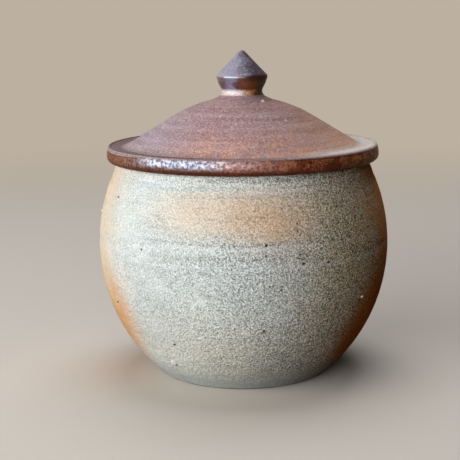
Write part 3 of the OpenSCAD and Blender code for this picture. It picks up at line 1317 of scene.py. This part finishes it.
@dataclass(frozen=True)
class IronBead(Finish):
    """Specks of iron that melted at the surface."""

    name: str = "iron_bead"
    black: str = "#241c18"
    brown: str = "#46301f"
    cloud_size: float = 0.6
    dry: Fade = Fade(0.0, 1.0, 0.45, 0.7)

    def paint(self, bench: Bench, kit: EffectKit, shader: bpy.types.Node) -> None:
        """Feed the shader.

        Args:
            bench: Bench of the finish.
            kit: The shared effects.
            shader: The shader of the specks.
        """
        feeds = {"Place": bench.place(), "Size": self.cloud_size}
        cloud = kit.use(bench, Effect.CLOUDS, feeds).outputs["Shade"]
        bench.feed(shader.inputs["Base Color"], bench.tones(cloud, self.black, self.brown))
        bench.feed(shader.inputs["Roughness"], bench.fade(cloud, self.dry))


@dataclass
class Turning:
    """A turned surface as rows of points: its lengths, angles, radii, heights and slopes."""

    along: np.ndarray
    angle: np.ndarray
    radius: np.ndarray
    height: np.ndarray
    normal: np.ndarray
    marks: list[Stretch]

    def share(self, stretch: Stretch, fade: float) -> np.ndarray:
        """How far a row lies inside a kind of stretch.

        Args:
            stretch: The kind of stretch.
            fade: Length over which the share rises from 0 at its ends.

        Returns:
            A column from 0 to 1.
        """
        inside = np.array([mark is stretch for mark in self.marks])
        outside = self.along[~inside]
        if not len(outside):
            return np.ones((len(self.along), 1))
        away = np.abs(self.along[:, None] - outside[None, :]).min(axis=1)
        return (smooth(away, 0.0, fade) * inside)[:, None]


@dataclass
class TurnedPiece:
    """A thrown piece: an outline turned round the Z axis, with the maker's marks as relief."""

    name: str = ""
    node: str = ""
    body: str = ""
    slot: str = ""
    faces_round: int = 320
    seed: int = 1
    still_r: float = 3.0
    finishes: dict[Stretch, Finish] = field(default_factory=dict)

    def outline(self) -> Outline:
        """Draw the half section, as each piece does in its own way."""
        raise NotImplementedError

    def relief(self, turning: Turning, draw: np.random.Generator) -> np.ndarray:
        """Give the relief, as each piece does in its own way."""
        raise NotImplementedError

    @cached_property
    def turning(self) -> Turning:
        """Lay out the turned surface.

        Returns:
            Its rows, before relief.
        """
        path = self.outline()
        spots = np.array(path.spots)
        steps = np.diff(spots, axis=0)
        lengths = np.linalg.norm(steps, axis=1)
        ways = steps / lengths[:, None]
        ways = np.vstack([ways[:1], ways[:-1] + ways[1:], ways[-1:]])
        ways /= np.linalg.norm(ways, axis=1)[:, None]
        return Turning(
            along=np.concatenate([[0.0], np.cumsum(lengths)]),
            angle=np.arange(self.faces_round)[None, :] * 2 * math.pi / self.faces_round,
            radius=spots[:, :1],
            height=spots[:, 1:],
            normal=np.stack([ways[:, 1], -ways[:, 0]], axis=1),
            marks=[path.marks[0], *path.marks],
        )

    def spot(self, turn: float, height: float) -> tuple[Vector, Vector]:
        """Find a place on the outside.

        Args:
            turn: Degrees round the piece, 0 at the front and growing to the right.
            height: Height in millimetres.

        Returns:
            The place and the way out of the clay, in millimetres.
        """
        turning = self.turning
        rows = [i for i, mark in enumerate(turning.marks) if mark is Stretch.OUTSIDE]
        row = min(rows, key=lambda i: abs(turning.height[i, 0] - height))
        angle = math.radians(turn - 90)
        lie = Vector((math.cos(angle), math.sin(angle), 0.0))
        out, up = turning.normal[row]
        place = lie * turning.radius[row, 0] + Vector((0.0, 0.0, turning.height[row, 0]))
        return place, lie * out + Vector((0.0, 0.0, up))

    def build(self) -> bpy.types.Object:
        """Make the mesh and hang it on its body.

        Returns:
            The new object.
        """
        turning = self.turning
        raised = self.relief(turning, np.random.default_rng(self.seed))
        raised = raised * smooth(turning.radius, 0.0, self.still_r)
        radius = turning.radius + raised * turning.normal[:, :1]
        height = turning.height + raised * turning.normal[:, 1:]
        across, deep = radius * np.cos(turning.angle), radius * np.sin(turning.angle)
        grid = np.stack([across, deep, height], axis=2) * MM
        mesh = bpy.data.meshes.new(self.name)
        self.fill(mesh, grid)
        self.divide(mesh, turning)
        self.unroll(mesh, turning)
        made = bpy.data.objects.new(self.name, mesh)
        bpy.context.scene.collection.objects.link(made)
        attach(made, self.body)
        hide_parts(self.node)
        return made

    def fill(self, mesh: bpy.types.Mesh, grid: np.ndarray) -> None:
        """Fill a mesh from rows of points, the first and the last of them on the axis.

        Args:
            mesh: The empty mesh.
            grid: Places by row and by turn, in metres.
        """
        rows, turns = grid.shape[:2]
        points = np.vstack([grid[0, :1], grid[1:-1].reshape(-1, 3), grid[-1, :1]])
        last = len(points) - 1
        near = np.arange(turns)
        far = (near + 1) % turns
        start = 1 + (rows - 3) * turns
        faces = [(0, int(b) + 1, int(a) + 1) for a, b in zip(near, far)]
        for row in range(rows - 3):
            low = 1 + row * turns
            high = low + turns
            faces += [tuple(map(int, f)) for f in zip(low + near, low + far, high + far, high + near)]
        faces += [(int(start + a), int(start + b), last) for a, b in zip(near, far)]
        mesh.from_pydata(points.tolist(), [], faces)
        mesh.shade_smooth()
        mesh.update()

    def divide(self, mesh: bpy.types.Mesh, turning: Turning) -> None:
        """Say which finish each band of faces has.

        Args:
            mesh: The filled mesh.
            turning: The rows that it was made from.
        """
        order = list(dict.fromkeys(self.finishes.values()))
        slots = []
        for mark in turning.marks[1:]:
            slots += [order.index(self.finishes[mark])] * self.faces_round
        mesh.polygons.foreach_set("material_index", slots)

    def unroll(self, mesh: bpy.types.Mesh, turning: Turning) -> None:
        """Lay the surface out flat, with the turn across and the outline upwards.

        Args:
            mesh: The filled mesh.
            turning: The rows that it was made from.
        """
        turns, rows = self.faces_round, len(turning.along)
        near = np.arange(turns) / turns
        far, half = near + 1 / turns, near + 0.5 / turns
        up = turning.along / turning.along[-1]
        level = np.ones(turns)
        first = [half, up[0] * level, far, up[1] * level, near, up[1] * level]
        flat = [np.stack(first, axis=1).ravel()]
        for row in range(1, rows - 2):
            low, high = up[row] * level, up[row + 1] * level
            flat.append(np.stack([near, low, far, low, far, high, near, high], axis=1).ravel())
        last = [near, up[-2] * level, far, up[-2] * level, half, up[-1] * level]
        flat.append(np.stack(last, axis=1).ravel())
        layer = mesh.uv_layers.new(name="OFBake")
        layer.uv.foreach_set("vector", np.concatenate(flat).astype(np.float32))

    def dress(self, made: bpy.types.Object, paints: dict[Finish, bpy.types.Material]) -> None:
        """Put the finishes on.

        Args:
            made: The piece.
            paints: Materials by finish.
        """
        for finish in dict.fromkeys(self.finishes.values()):
            made.data.materials.append(paints[finish])


def upright_arc(inward: float, rise: float) -> float:
    """Radius of an arc that starts upright and moves in by a length over a rise."""
    return (inward ** 2 + rise ** 2) / (2 * inward)


def edge_centre(centre: np.ndarray, radius: float, level: float, small: float) -> np.ndarray:
    """Centre of a small round that lies in a big circle and on a level."""
    across = math.sqrt((radius - small) ** 2 - (centre[1] - level - small) ** 2)
    return np.array([centre[0] + across, level + small])


@dataclass
class Pot(TurnedPiece):
    """The round jar."""

    name: str = "thrown_pot"
    node: str = "pot"
    body: str = "pot"
    slot: str = "pot_clay"
    seed: int = 11
    belly_r: float = 55.0
    belly_z: float = 48.6
    base_r: float = 33.0
    rim_r: float = 46.8
    wall: float = 5.0
    floor_t: float = 6.5
    base_round: float = 3.0
    floor_round: float = 14.0
    lip_h: float = 3.0
    rim_round: float = 1.0
    foot_w: float = 8.0
    recess_h: float = 1.5
    skin: float = 0.24
    ring_pitch: float = 5.4
    inner_pitch: float = 7.5
    base_pitch: float = 2.1
    slow_out: float = 0.03
    lumps_out: float = 0.012
    rings_out: float = 0.022
    rings_even: float = 0.6
    slow_in: float = 0.1
    lumps_in: float = 0.03
    rings_in: float = 0.22
    rings_under: float = 0.05
    under_rise: Point = (0.3, 1.0)
    recess_round: float = 1.0
    foot_round: float = 0.8
    base_step: float = 1.6
    inside_step: float = 1.2
    mouth_step: float = 0.8
    edge_step: float = 0.6
    low_step: float = 0.52
    out_step: float = 0.5
    grooves: tuple[Groove, ...] = (
        Groove(57.8, 0.55, 0.10, 10.0, 80.0),
        Groove(52.6, 1.1, 0.08, 20.0, 80.0),
        Groove(49.5, 1.2, -0.09, 8.0, 95.0),
        Groove(51.8, 0.6, 0.12, 58.0, 26.0),
        Groove(77.0, 0.4, 0.08, -20.0, 150.0),
        Groove(74.6, 0.5, 0.07, 60.0, 140.0),
    )

    def outline(self) -> Outline:
        """Draw the jar from the middle of its base, up the outside and down to its floor.

        Returns:
            The half section.
        """
        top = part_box(self.node)[1].z / MM
        lip_z = top - self.lip_h
        low_r = upright_arc(self.belly_r - self.base_r, self.belly_z)
        high_r = upright_arc(self.belly_r - self.rim_r, top - self.belly_z)
        low_c = np.array([self.belly_r - low_r, self.belly_z])
        high_c = np.array([self.belly_r - high_r, self.belly_z])
        base_c = edge_centre(low_c, low_r, 0.0, self.base_round)
        floor_c = edge_centre(low_c, low_r - self.wall, self.floor_t, self.floor_round)
        recess_r = base_c[0] - self.foot_w
        base_angle = heading(low_c, base_c)
        floor_angle = heading(low_c, floor_c)
        lip_angle = math.degrees(math.asin((lip_z - self.belly_z) / high_r))
        mouth_angle = math.degrees(math.asin((lip_z - self.belly_z) / (high_r - self.wall)))
        mouth_r = high_c[0] + (high_r - self.wall) * math.cos(math.radians(mouth_angle))

        path = Outline((0.0, self.recess_h))
        under, out, edge, inside = Stretch.UNDERSIDE, Stretch.OUTSIDE, Stretch.EDGE, Stretch.INSIDE
        foot, ring = (recess_r - self.recess_h, self.recess_h), (recess_r, 0.0)
        path.corner(foot, ring, self.recess_round, self.inside_step, under)
        path.corner(ring, (base_c[0], 0.0), self.foot_round, self.edge_step, under)
        path.line((base_c[0], 0.0), self.base_step, under)
        path.arc(base_c, self.base_round, (-90.0, base_angle), self.out_step, out)
        path.arc(low_c, low_r, (base_angle, 0.0), self.low_step, out)
        path.arc(high_c, high_r, (0.0, lip_angle), self.out_step, out)
        path.corner((self.rim_r, top), (mouth_r, top), self.rim_round, self.edge_step, edge)
        path.corner((mouth_r, top), (mouth_r, lip_z), self.rim_round, self.mouth_step, edge)
        path.line((mouth_r, lip_z), self.mouth_step, edge)
        path.arc(high_c, high_r - self.wall, (mouth_angle, 0.0), self.inside_step, inside)
        path.arc(low_c, low_r - self.wall, (0.0, floor_angle), self.inside_step, inside)
        path.arc(floor_c, self.floor_round, (floor_angle, -90.0), self.inside_step, inside)
        path.line((0.0, self.floor_t), self.inside_step, inside)
        return path

    def relief(self, turning: Turning, draw: np.random.Generator) -> np.ndarray:
        """Marks of the wheel and of the clay.

        Args:
            turning: The rows of the jar.
            draw: Source of the random values.

        Returns:
            How far each point moves out of the clay, in millimetres.
        """
        along, angle = turning.along[:, None], turning.angle
        slow = Waves(draw, count=8, turns=(1, 3), lengths=(60.0, 160.0)).at(angle, along)
        lumps = Waves(draw, count=60, turns=(14, 70), lengths=(3.0, 14.0)).at(angle, along)
        swell = Waves(draw, count=10, turns=(1, 4), lengths=(12.0, 50.0)).at(angle, along)
        rings = np.cos(2 * math.pi * along / self.ring_pitch + angle)
        rings = rings * (self.rings_even + (1 - self.rings_even) * swell)
        outer = -self.skin + self.slow_out * slow + self.lumps_out * lumps + self.rings_out * rings
        for groove in self.grooves:
            outer = outer + groove.relief(turning.height, angle)
        inner = self.rings_in * np.cos(2 * math.pi * along / self.inner_pitch + angle)
        inner = inner + self.slow_in * slow + self.lumps_in * lumps
        under = self.rings_under * np.cos(2 * math.pi * along / self.base_pitch + angle)
        under = under * smooth(turning.height, *self.under_rise)
        return (
            outer * turning.share(Stretch.OUTSIDE, fade=3.0)
            + inner * turning.share(Stretch.INSIDE, fade=6.0)
            + under * turning.share(Stretch.UNDERSIDE, fade=1.0)
        )


@dataclass
class Lid(TurnedPiece):
    """The loose domed lid with its flange and its locating ring."""

    name: str = "domed_lid"
    node: str = "lid"
    body: str = "lid"
    slot: str = "lid_clay"
    seed: int = 23
    flange_r: float = 51.1
    flange_z: float = 80.2
    flange_t: float = 6.2
    bulge_r: float = 6.4
    bulge_h: float = 2.6
    under_round: float = 2.0
    face_top: float = 1.4
    lip_round: float = 1.2
    lip_sweep: Point = (-8.0, 84.0)
    lip_fall: float = 0.35
    dome_r: float = 44.5
    dish: float = 0.85
    dome_h: float = 17.5
    crown_r: float = 51.0
    dome_hollow: float = 7.0
    wall: float = 4.6
    ring_r: float = 41.75
    ring_t: float = 4.0
    ring_h: float = 8.0
    ring_round: float = 1.2
    root_round: float = 0.7
    shoulder_round: float = 4.0
    seat_r: float = 10.6
    ring_pitch: float = 3.6
    under_pitch: float = 2.6
    dome_skin: float = 0.14
    dome_slow: float = 0.03
    dome_lumps: float = 0.025
    dome_rings: float = 0.018
    rim_skin: float = 0.05
    rim_slow: float = 0.015
    rim_lumps: float = 0.022
    under_skin: float = 0.08
    under_lumps: float = 0.02
    under_rings: float = 0.06
    seat_step: float = 2.0
    under_step: float = 1.2
    ring_step: float = 0.9
    flange_step: float = 0.8
    face_step: float = 0.25
    lip_step: float = 0.15
    notch: float = 0.5
    notch_step: float = 0.2
    foot_step: float = 0.4
    dome_step: float = 0.42

    def outline(self) -> Outline:
        """Draw the lid from under its crown, round the ring and the flange, to its seat for the knob.

        Returns:
            The half section.
        """
        top = self.flange_z + self.flange_t
        crown_c = np.array([0.0, top + self.dome_h - self.crown_r])
        dome_edge = np.array([self.dome_r, top - self.dish])
        away = float(np.linalg.norm(dome_edge - crown_c))
        cone_angle = heading(crown_c, dome_edge) + math.degrees(math.acos(self.crown_r / away))
        inner_r = self.crown_r - self.wall
        inner_top = crown_c + inner_r * ray(cone_angle)
        ring_in = self.ring_r - self.ring_t
        shoulder_z = inner_top[1] - (ring_in - inner_top[0]) / math.tan(math.radians(cone_angle))
        ring_z = self.flange_z - self.ring_h
        seat_angle = math.degrees(math.acos(self.seat_r / self.crown_r))

        under, out, edge = Stretch.UNDERSIDE, Stretch.OUTSIDE, Stretch.EDGE
        path = Outline((0.0, crown_c[1] + inner_r))
        path.arc(crown_c, inner_r, (90.0, cone_angle), self.under_step, under)
        flange = (self.ring_r, self.flange_z)
        path.corner((ring_in, shoulder_z), (ring_in, ring_z), self.shoulder_round, self.under_step, under)
        path.corner((ring_in, ring_z), (self.ring_r, ring_z), self.ring_round, self.ring_step, under)
        path.corner((self.ring_r, ring_z), flange, self.ring_round, self.ring_step, under)
        path.corner(flange, (self.flange_r, self.flange_z), self.root_round, self.ring_step, under)
        bulge_c = np.array([self.flange_r - self.bulge_r, self.flange_z + self.bulge_h])
        under_c = edge_centre(bulge_c, self.bulge_r, self.flange_z, self.under_round)
        under_angle = heading(bulge_c, under_c)
        face_angle = math.degrees(math.asin((self.flange_t - self.bulge_h - self.face_top) / self.bulge_r))
        path.line((under_c[0], self.flange_z), self.flange_step, under)
        path.arc(under_c, self.under_round, (-90.0, under_angle), self.face_step, edge)
        path.arc(bulge_c, self.bulge_r, (under_angle, face_angle), self.face_step, edge)
        lip_c = path.spots[-1] - self.lip_round * ray(self.lip_sweep[0])
        path.arc(lip_c, self.lip_round, self.lip_sweep, self.lip_step, edge)
        fallen = path.spots[-1] - np.array([self.notch, self.lip_fall])
        path.corner(fallen, dome_edge, self.notch, self.notch_step, edge)
        shoulder = crown_c + self.crown_r * ray(cone_angle)
        path.corner(dome_edge, shoulder, self.dome_hollow, self.foot_step, out)
        path.arc(crown_c, self.crown_r, (cone_angle, seat_angle), self.dome_step, out)
        path.line((0.0, path.spots[-1][1]), self.seat_step, out)
        return path

    def relief(self, turning: Turning, draw: np.random.Generator) -> np.ndarray:
        """Marks of the wheel and of the clay.

        Args:
            turning: The rows of the lid.
            draw: Source of the random values.

        Returns:
            How far each point moves out of the clay, in millimetres.
        """
        along, angle = turning.along[:, None], turning.angle
        slow = Waves(draw, count=8, turns=(1, 3), lengths=(40.0, 120.0)).at(angle, along)
        lumps = Waves(draw, count=60, turns=(14, 80), lengths=(2.5, 10.0)).at(angle, along)
        rings = np.cos(2 * math.pi * along / self.ring_pitch + angle)
        under_rings = np.cos(2 * math.pi * along / self.under_pitch + angle)
        dome = -self.dome_skin + self.dome_slow * slow + self.dome_lumps * lumps + self.dome_rings * rings
        rim = -self.rim_skin + self.rim_slow * slow + self.rim_lumps * lumps
        under = self.under_rings * under_rings + self.under_lumps * lumps - self.under_skin
        return (
            dome * turning.share(Stretch.OUTSIDE, fade=2.0)
            + rim * turning.share(Stretch.EDGE, fade=1.0)
            + under * turning.share(Stretch.UNDERSIDE, fade=2.0)
        )


@dataclass
class Knob(TurnedPiece):
    """The pointed knob, stuck onto the crown of the lid and smoothed round its foot."""

    name: str = "pointed_knob"
    node: str = "lid_knob"
    body: str = "lid"
    slot: str = "knob_clay"
    faces_round: int = 192
    seed: int = 37
    knob_r: float = 9.8
    tip_round: float = 1.8
    girdle_round: float = 1.4
    girdle_h: float = 5.8
    swell: float = 0.3
    swell_round: float = 6.0
    neck_r: float = 7.2
    neck_round: float = 2.2
    neck_h: float = 2.9
    cove_w: float = 1.35
    cove_h: float = 1.1
    cove_round: float = 3.0
    foot_r: float = 11.3
    foot_sink: float = 0.12
    skin: float = 0.05
    slow_out: float = 0.02
    lumps_out: float = 0.014
    foot_step: float = 2.0
    side_step: float = 0.25
    tip_step: float = 0.2

    def outline(self) -> Outline:
        """Draw the knob from its foot, out over the girdle, to its tip.

        Returns:
            The half section.
        """
        low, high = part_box(self.node)
        seat, top = low.z / MM, high.z / MM
        neck = np.array([self.neck_r, seat + self.neck_h])
        cove = (self.neck_r + self.cove_w, seat + self.cove_h)
        girdle = np.array([self.knob_r, neck[1] + self.girdle_h])
        swell = (neck + girdle) / 2 + self.swell * ray(heading(neck, girdle) - 90)
        tip_c = np.array([0.0, top - self.tip_round])
        away = float(np.linalg.norm(girdle - tip_c))
        tip_angle = heading(tip_c, girdle) + math.degrees(math.acos(self.tip_round / away))
        tip_end = tip_c + self.tip_round * ray(tip_angle)
        foot_z = seat - self.foot_sink

        path = Outline((0.0, foot_z))
        path.line((self.foot_r, foot_z), self.foot_step, Stretch.UNDERSIDE)
        path.corner(cove, neck, self.cove_round, self.side_step, Stretch.EDGE)
        path.corner(neck, swell, self.neck_round, self.side_step, Stretch.OUTSIDE)
        path.corner(swell, girdle, self.swell_round, self.side_step, Stretch.OUTSIDE)
        path.corner(girdle, tip_end, self.girdle_round, self.tip_step, Stretch.OUTSIDE)
        path.line(tip_end, self.side_step, Stretch.OUTSIDE)
        path.arc(tip_c, self.tip_round, (tip_angle, 90.0), self.tip_step, Stretch.OUTSIDE)
        return path

    def relief(self, turning: Turning, draw: np.random.Generator) -> np.ndarray:
        """Marks of the fingers and of the clay.

        Args:
            turning: The rows of the knob.
            draw: Source of the random values.

        Returns:
            How far each point moves out of the clay, in millimetres.
        """
        along, angle = turning.along[:, None], turning.angle
        slow = Waves(draw, count=8, turns=(1, 3), lengths=(8.0, 30.0)).at(angle, along)
        lumps = Waves(draw, count=50, turns=(6, 30), lengths=(1.2, 5.0)).at(angle, along)
        outer = -self.skin + self.slow_out * slow + self.lumps_out * lumps
        return outer * turning.share(Stretch.OUTSIDE, fade=1.0)


@dataclass
class Grit:
    """Small stones or specks set into a piece, some at given places and some scattered behind."""

    name: str
    piece: TurnedPiece
    finish: Finish
    places: tuple[tuple[float, float, float], ...]
    scattered: int
    heights: Point
    sizes: Point
    flatness: float
    sunk: float
    seed: int
    behind: Point = (100.0, 260.0)
    widths: Point = (0.55, 0.85)
    uneven: float = 0.35
    uneven_rate: float = 1.3
    luck_reach: float = 50.0

    def build(self) -> bpy.types.Object:
        """Make all of them as one mesh and hang it on the body of the piece.

        Returns:
            The new object.
        """
        draw = np.random.default_rng(self.seed)
        places = list(self.places)
        for _ in range(self.scattered):
            turn, height = draw.uniform(*self.behind), draw.uniform(*self.heights)
            places.append((turn, height, draw.uniform(*self.sizes)))
        shell = bmesh.new()
        for turn, height, size in places:
            self.lump(shell, draw, *self.piece.spot(turn, height), size)
        mesh = bpy.data.meshes.new(self.name)
        shell.to_mesh(mesh)
        shell.free()
        mesh.shade_smooth()
        made = bpy.data.objects.new(self.name, mesh)
        bpy.context.scene.collection.objects.link(made)
        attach(made, self.piece.body)
        return made

    def lump(self, shell: bmesh.types.BMesh, draw: np.random.Generator, place: Vector, out: Vector,
             size: float) -> None:
        """Add one rounded lump.

        Args:
            shell: The mesh that all lumps go into.
            draw: Source of the random values.
            place: Where it sits, in millimetres.
            out: The way out of the clay.
            size: Its longest measure, in millimetres.
        """
        turn = Matrix.Rotation(draw.uniform(0, 2 * math.pi), 4, "Z")
        half = size / 2
        stretch = Matrix.Diagonal((half, half * draw.uniform(*self.widths), half * self.flatness, 1.0))
        stand = out.to_track_quat("Z", "Y").to_matrix().to_4x4()
        seat = Matrix.Translation(place - out * size * self.sunk)
        lie = seat @ stand @ turn @ stretch
        made = bmesh.ops.create_icosphere(shell, subdivisions=2, radius=1.0)
        shift = Vector(draw.uniform(-self.luck_reach, self.luck_reach, 3))
        for vert in made["verts"]:
            swell = 1.0 + self.uneven * noise.noise(vert.co * self.uneven_rate + shift)
            vert.co = (lie @ (vert.co * swell)) * MM

    def dress(self, made: bpy.types.Object, paints: dict[Finish, bpy.types.Material]) -> None:
        """Put the finish on the lumps."""
        made.data.materials.append(paints[self.finish])


@dataclass(frozen=True)
class Lamp:
    """A soft lamp: its power, its size, how far away it hangs, and the way to it from the object."""

    name: str
    watts: float
    size: Point
    away: float
    turn: float
    rise: float
    tint: tuple[float, float, float] = (0.94, 0.99, 1.08)

    def hang(self, aim: Vector) -> bpy.types.Object:
        """Hang the lamp so that it faces a place.

        Args:
            aim: The place, in metres.

        Returns:
            The lamp object.
        """
        data = bpy.data.lights.new(self.name, "AREA")
        data.shape = "RECTANGLE"
        data.size, data.size_y = self.size
        data.energy = self.watts
        data.color = self.tint
        made = bpy.data.objects.new(self.name, data)
        bpy.context.scene.collection.objects.link(made)
        turn, rise = math.radians(self.turn - 90), math.radians(self.rise)
        way = Vector((math.cos(turn) * math.cos(rise), math.sin(turn) * math.cos(rise), math.sin(rise)))
        stand = way.to_track_quat("Z", "Y").to_matrix().to_4x4()
        made.matrix_world = Matrix.Translation(aim + way * self.away) @ stand
        return made


@dataclass
class Studio:
    """Pale floor, soft window light and a camera at the viewing angle of the photograph."""

    floor_radius: float = 4.0
    floor_sides: int = 96
    floor_drop: float = 0.02
    floor_tone: str = "#e2d6c6"
    floor_bounce: str = "#4e3e2d"
    backdrop_tone: str = "#bcb0a0"
    fade: Point = (0.2, 0.8)
    fill: float = 0.008
    fill_tint: tuple[float, float, float, float] = (1.0, 0.88, 0.74, 1.0)
    aim: tuple[float, float, float] = (0.0, 0.0, 0.06)
    key: Lamp = Lamp("window", 14.4, (1.45, 0.6), 0.95, -51.0, 12.0)
    front: Lamp = Lamp("sky", 0.85, (0.42, 0.45), 0.95, 0.0, 14.0)
    top: Lamp = Lamp("ceiling", 9.0, (0.9, 0.9), 1.3, 172.0, 74.0)
    eye: tuple[float, float, float] = (0.0, -0.420, 0.1329)
    focal_px: float = 1116.0
    frame_px: float = 460.0
    sensor: float = 36.0
    yaw: float = -0.0121
    pitch: float = 0.1887
    roll: float = -0.0113

    def camera(self) -> bpy.types.Object:
        """Set up the camera.

        Returns:
            The camera object.
        """
        data = bpy.data.cameras.new("camera")
        data.sensor_fit = "HORIZONTAL"
        data.sensor_width = self.sensor
        data.lens = self.focal_px * self.sensor / self.frame_px
        data.clip_start = 0.01
        made = bpy.data.objects.new("camera", data)
        bpy.context.scene.collection.objects.link(made)
        level = math.cos(self.pitch)
        ahead = Vector((math.sin(self.yaw) * level, math.cos(self.yaw) * level, -math.sin(self.pitch)))
        right = Vector((math.cos(self.yaw), -math.sin(self.yaw), 0.0))
        up = right.cross(ahead)
        tilt = Matrix.Rotation(-self.roll, 3, ahead)
        right, up = tilt @ right, tilt @ up
        turned = Matrix((right, up, -ahead)).transposed().to_4x4()
        made.matrix_world = Matrix.Translation(self.eye) @ turned
        bpy.context.scene.camera = made
        return made

    def backdrop_share(self, bench: Bench) -> Socket:
        """Pick the rays that see the plain backdrop colour: those of the camera, of gloss and of glass.

        Args:
            bench: Bench of the floor or of the room.

        Returns:
            1 for those rays and 0 for the others.
        """
        path = bench.node("ShaderNodeLightPath")
        seen = bench.most(path.outputs["Is Camera Ray"], path.outputs["Is Glossy Ray"])
        return bench.most(seen, path.outputs["Is Transmission Ray"])

    def floor(self) -> bpy.types.Object:
        """Lay the floor, which fades into the backdrop far away.

        Returns:
            The floor object.
        """
        mesh = bpy.data.meshes.new("floor")
        shell = bmesh.new()
        bmesh.ops.create_circle(shell, cap_ends=True, segments=self.floor_sides, radius=self.floor_radius)
        shell.to_mesh(mesh)
        shell.free()
        made = bpy.data.objects.new("floor", mesh)
        made.location.z = -self.floor_drop * MM
        bpy.context.scene.collection.objects.link(made)
        paper = bpy.data.materials.new("floor_paper")
        paper.use_nodes = True
        paper.node_tree.nodes.clear()
        bench = Bench(paper.node_tree)
        away = bench.vector("LENGTH", bench.node("ShaderNodeTexCoord").outputs["Object"])
        far = bench.product(bench.ramp(away, *self.fade), self.backdrop_share(bench))
        tone = bench.tones(self.backdrop_share(bench), self.floor_bounce, self.floor_tone)
        near = bench.node("ShaderNodeBsdfDiffuse", {"Color": tone})
        plain = bench.node("ShaderNodeEmission", {"Color": shade(self.backdrop_tone), "Strength": 1.0})
        mixed = bench.node("ShaderNodeMixShader", {0: far, 1: near.outputs[0], 2: plain.outputs[0]})
        bench.node("ShaderNodeOutputMaterial", {"Surface": mixed.outputs[0]})
        mesh.materials.append(paper)
        return made

    def light(self) -> None:
        """Hang the lamps and set the fill of the room."""
        for lamp in (self.key, self.front, self.top):
            lamp.hang(Vector(self.aim))
        world = bpy.data.worlds.new("room")
        world.use_nodes = True
        world.node_tree.nodes.clear()
        bench = Bench(world.node_tree)
        fill = bench.node("ShaderNodeBackground", {"Color": self.fill_tint, "Strength": self.fill})
        plain = bench.node("ShaderNodeBackground", {"Color": shade(self.backdrop_tone), "Strength": 1.0})
        seen = self.backdrop_share(bench)
        mixed = bench.node("ShaderNodeMixShader", {0: seen, 1: fill.outputs[0], 2: plain.outputs[0]})
        bench.node("ShaderNodeOutputWorld", {"Surface": mixed.outputs[0]})
        bpy.context.scene.world = world
        bpy.context.scene.view_settings.view_transform = "Standard"


# Stones and specks seen on the photographed side: degrees round from the front, height and size
POT_STONES = (
    (-36.7, 10.3, 2.8), (52.5, 34.4, 1.7), (-15.8, 18.6, 1.0), (-4.2, 16.4, 1.1), (-84.0, 62.0, 1.2),
)
IRON_SPECKS = (
    (8.0, 57.3, 1.2), (7.8, 54.1, 0.85), (21.6, 50.8, 1.1), (32.0, 50.2, 1.2), (20.0, 64.2, 0.8),
    (20.0, 52.4, 0.9), (42.5, 62.4, 0.8), (13.5, 42.0, 0.8), (58.0, 50.0, 1.0),
    (20.0, 61.7, 0.8), (67.8, 70.3, 1.2), (55.3, 59.2, 0.9), (-60.5, 69.9, 0.9), (-40.3, 54.1, 0.8),
    (-61.2, 31.4, 1.0), (7.5, 26.7, 1.1), (-30.8, 19.5, 1.0),
)
LID_STONES = ((40.5, 102.55, 2.0), (68.7, 87.4, 1.2), (36.0, 92.5, 0.9))


def main() -> None:
    """Build the pieces in order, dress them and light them."""
    logging.basicConfig(level=logging.INFO, format="%(name)s: %(message)s")
    ash, bare, wash = AshClay(), BareClay(), IronWash()
    knob_wash, stone, bead = KnobWash(), Feldspar(), IronBead()
    under, out, edge, inside = Stretch.UNDERSIDE, Stretch.OUTSIDE, Stretch.EDGE, Stretch.INSIDE
    pot = Pot(finishes={out: ash, under: bare, edge: ash, inside: bare})
    lid = Lid(finishes={out: wash, edge: wash, under: bare})
    knob = Knob(finishes={out: knob_wash, edge: wash, under: knob_wash})
    parts = [
        pot,
        lid,
        knob,
        Grit("pot_feldspar", pot, stone, POT_STONES, scattered=9, heights=(8.0, 74.0), sizes=(0.8, 1.7),
             flatness=0.6, sunk=0.12, seed=5),
        Grit("pot_iron_specks", pot, bead, IRON_SPECKS, scattered=34, heights=(8.0, 76.0), sizes=(0.4, 0.9),
             flatness=0.3, sunk=0.1, seed=6),
        Grit("lid_feldspar", lid, stone, LID_STONES, scattered=7, heights=(88.0, 101.0), sizes=(0.6, 1.1),
             flatness=0.5, sunk=0.16, seed=7),
    ]
    kit = EffectKit()
    paints = {finish: finish.material(kit) for finish in (ash, bare, wash, knob_wash, stone, bead)}
    for part in parts:
        made = part.build()
        part.dress(made, paints)
        LOG.info("%s: %d faces", made.name, len(made.data.polygons))
    studio = Studio()
    studio.camera()
    studio.floor()
    studio.light()
    bpy.context.view_layer.update()


if __name__ == "__main__":
    main()
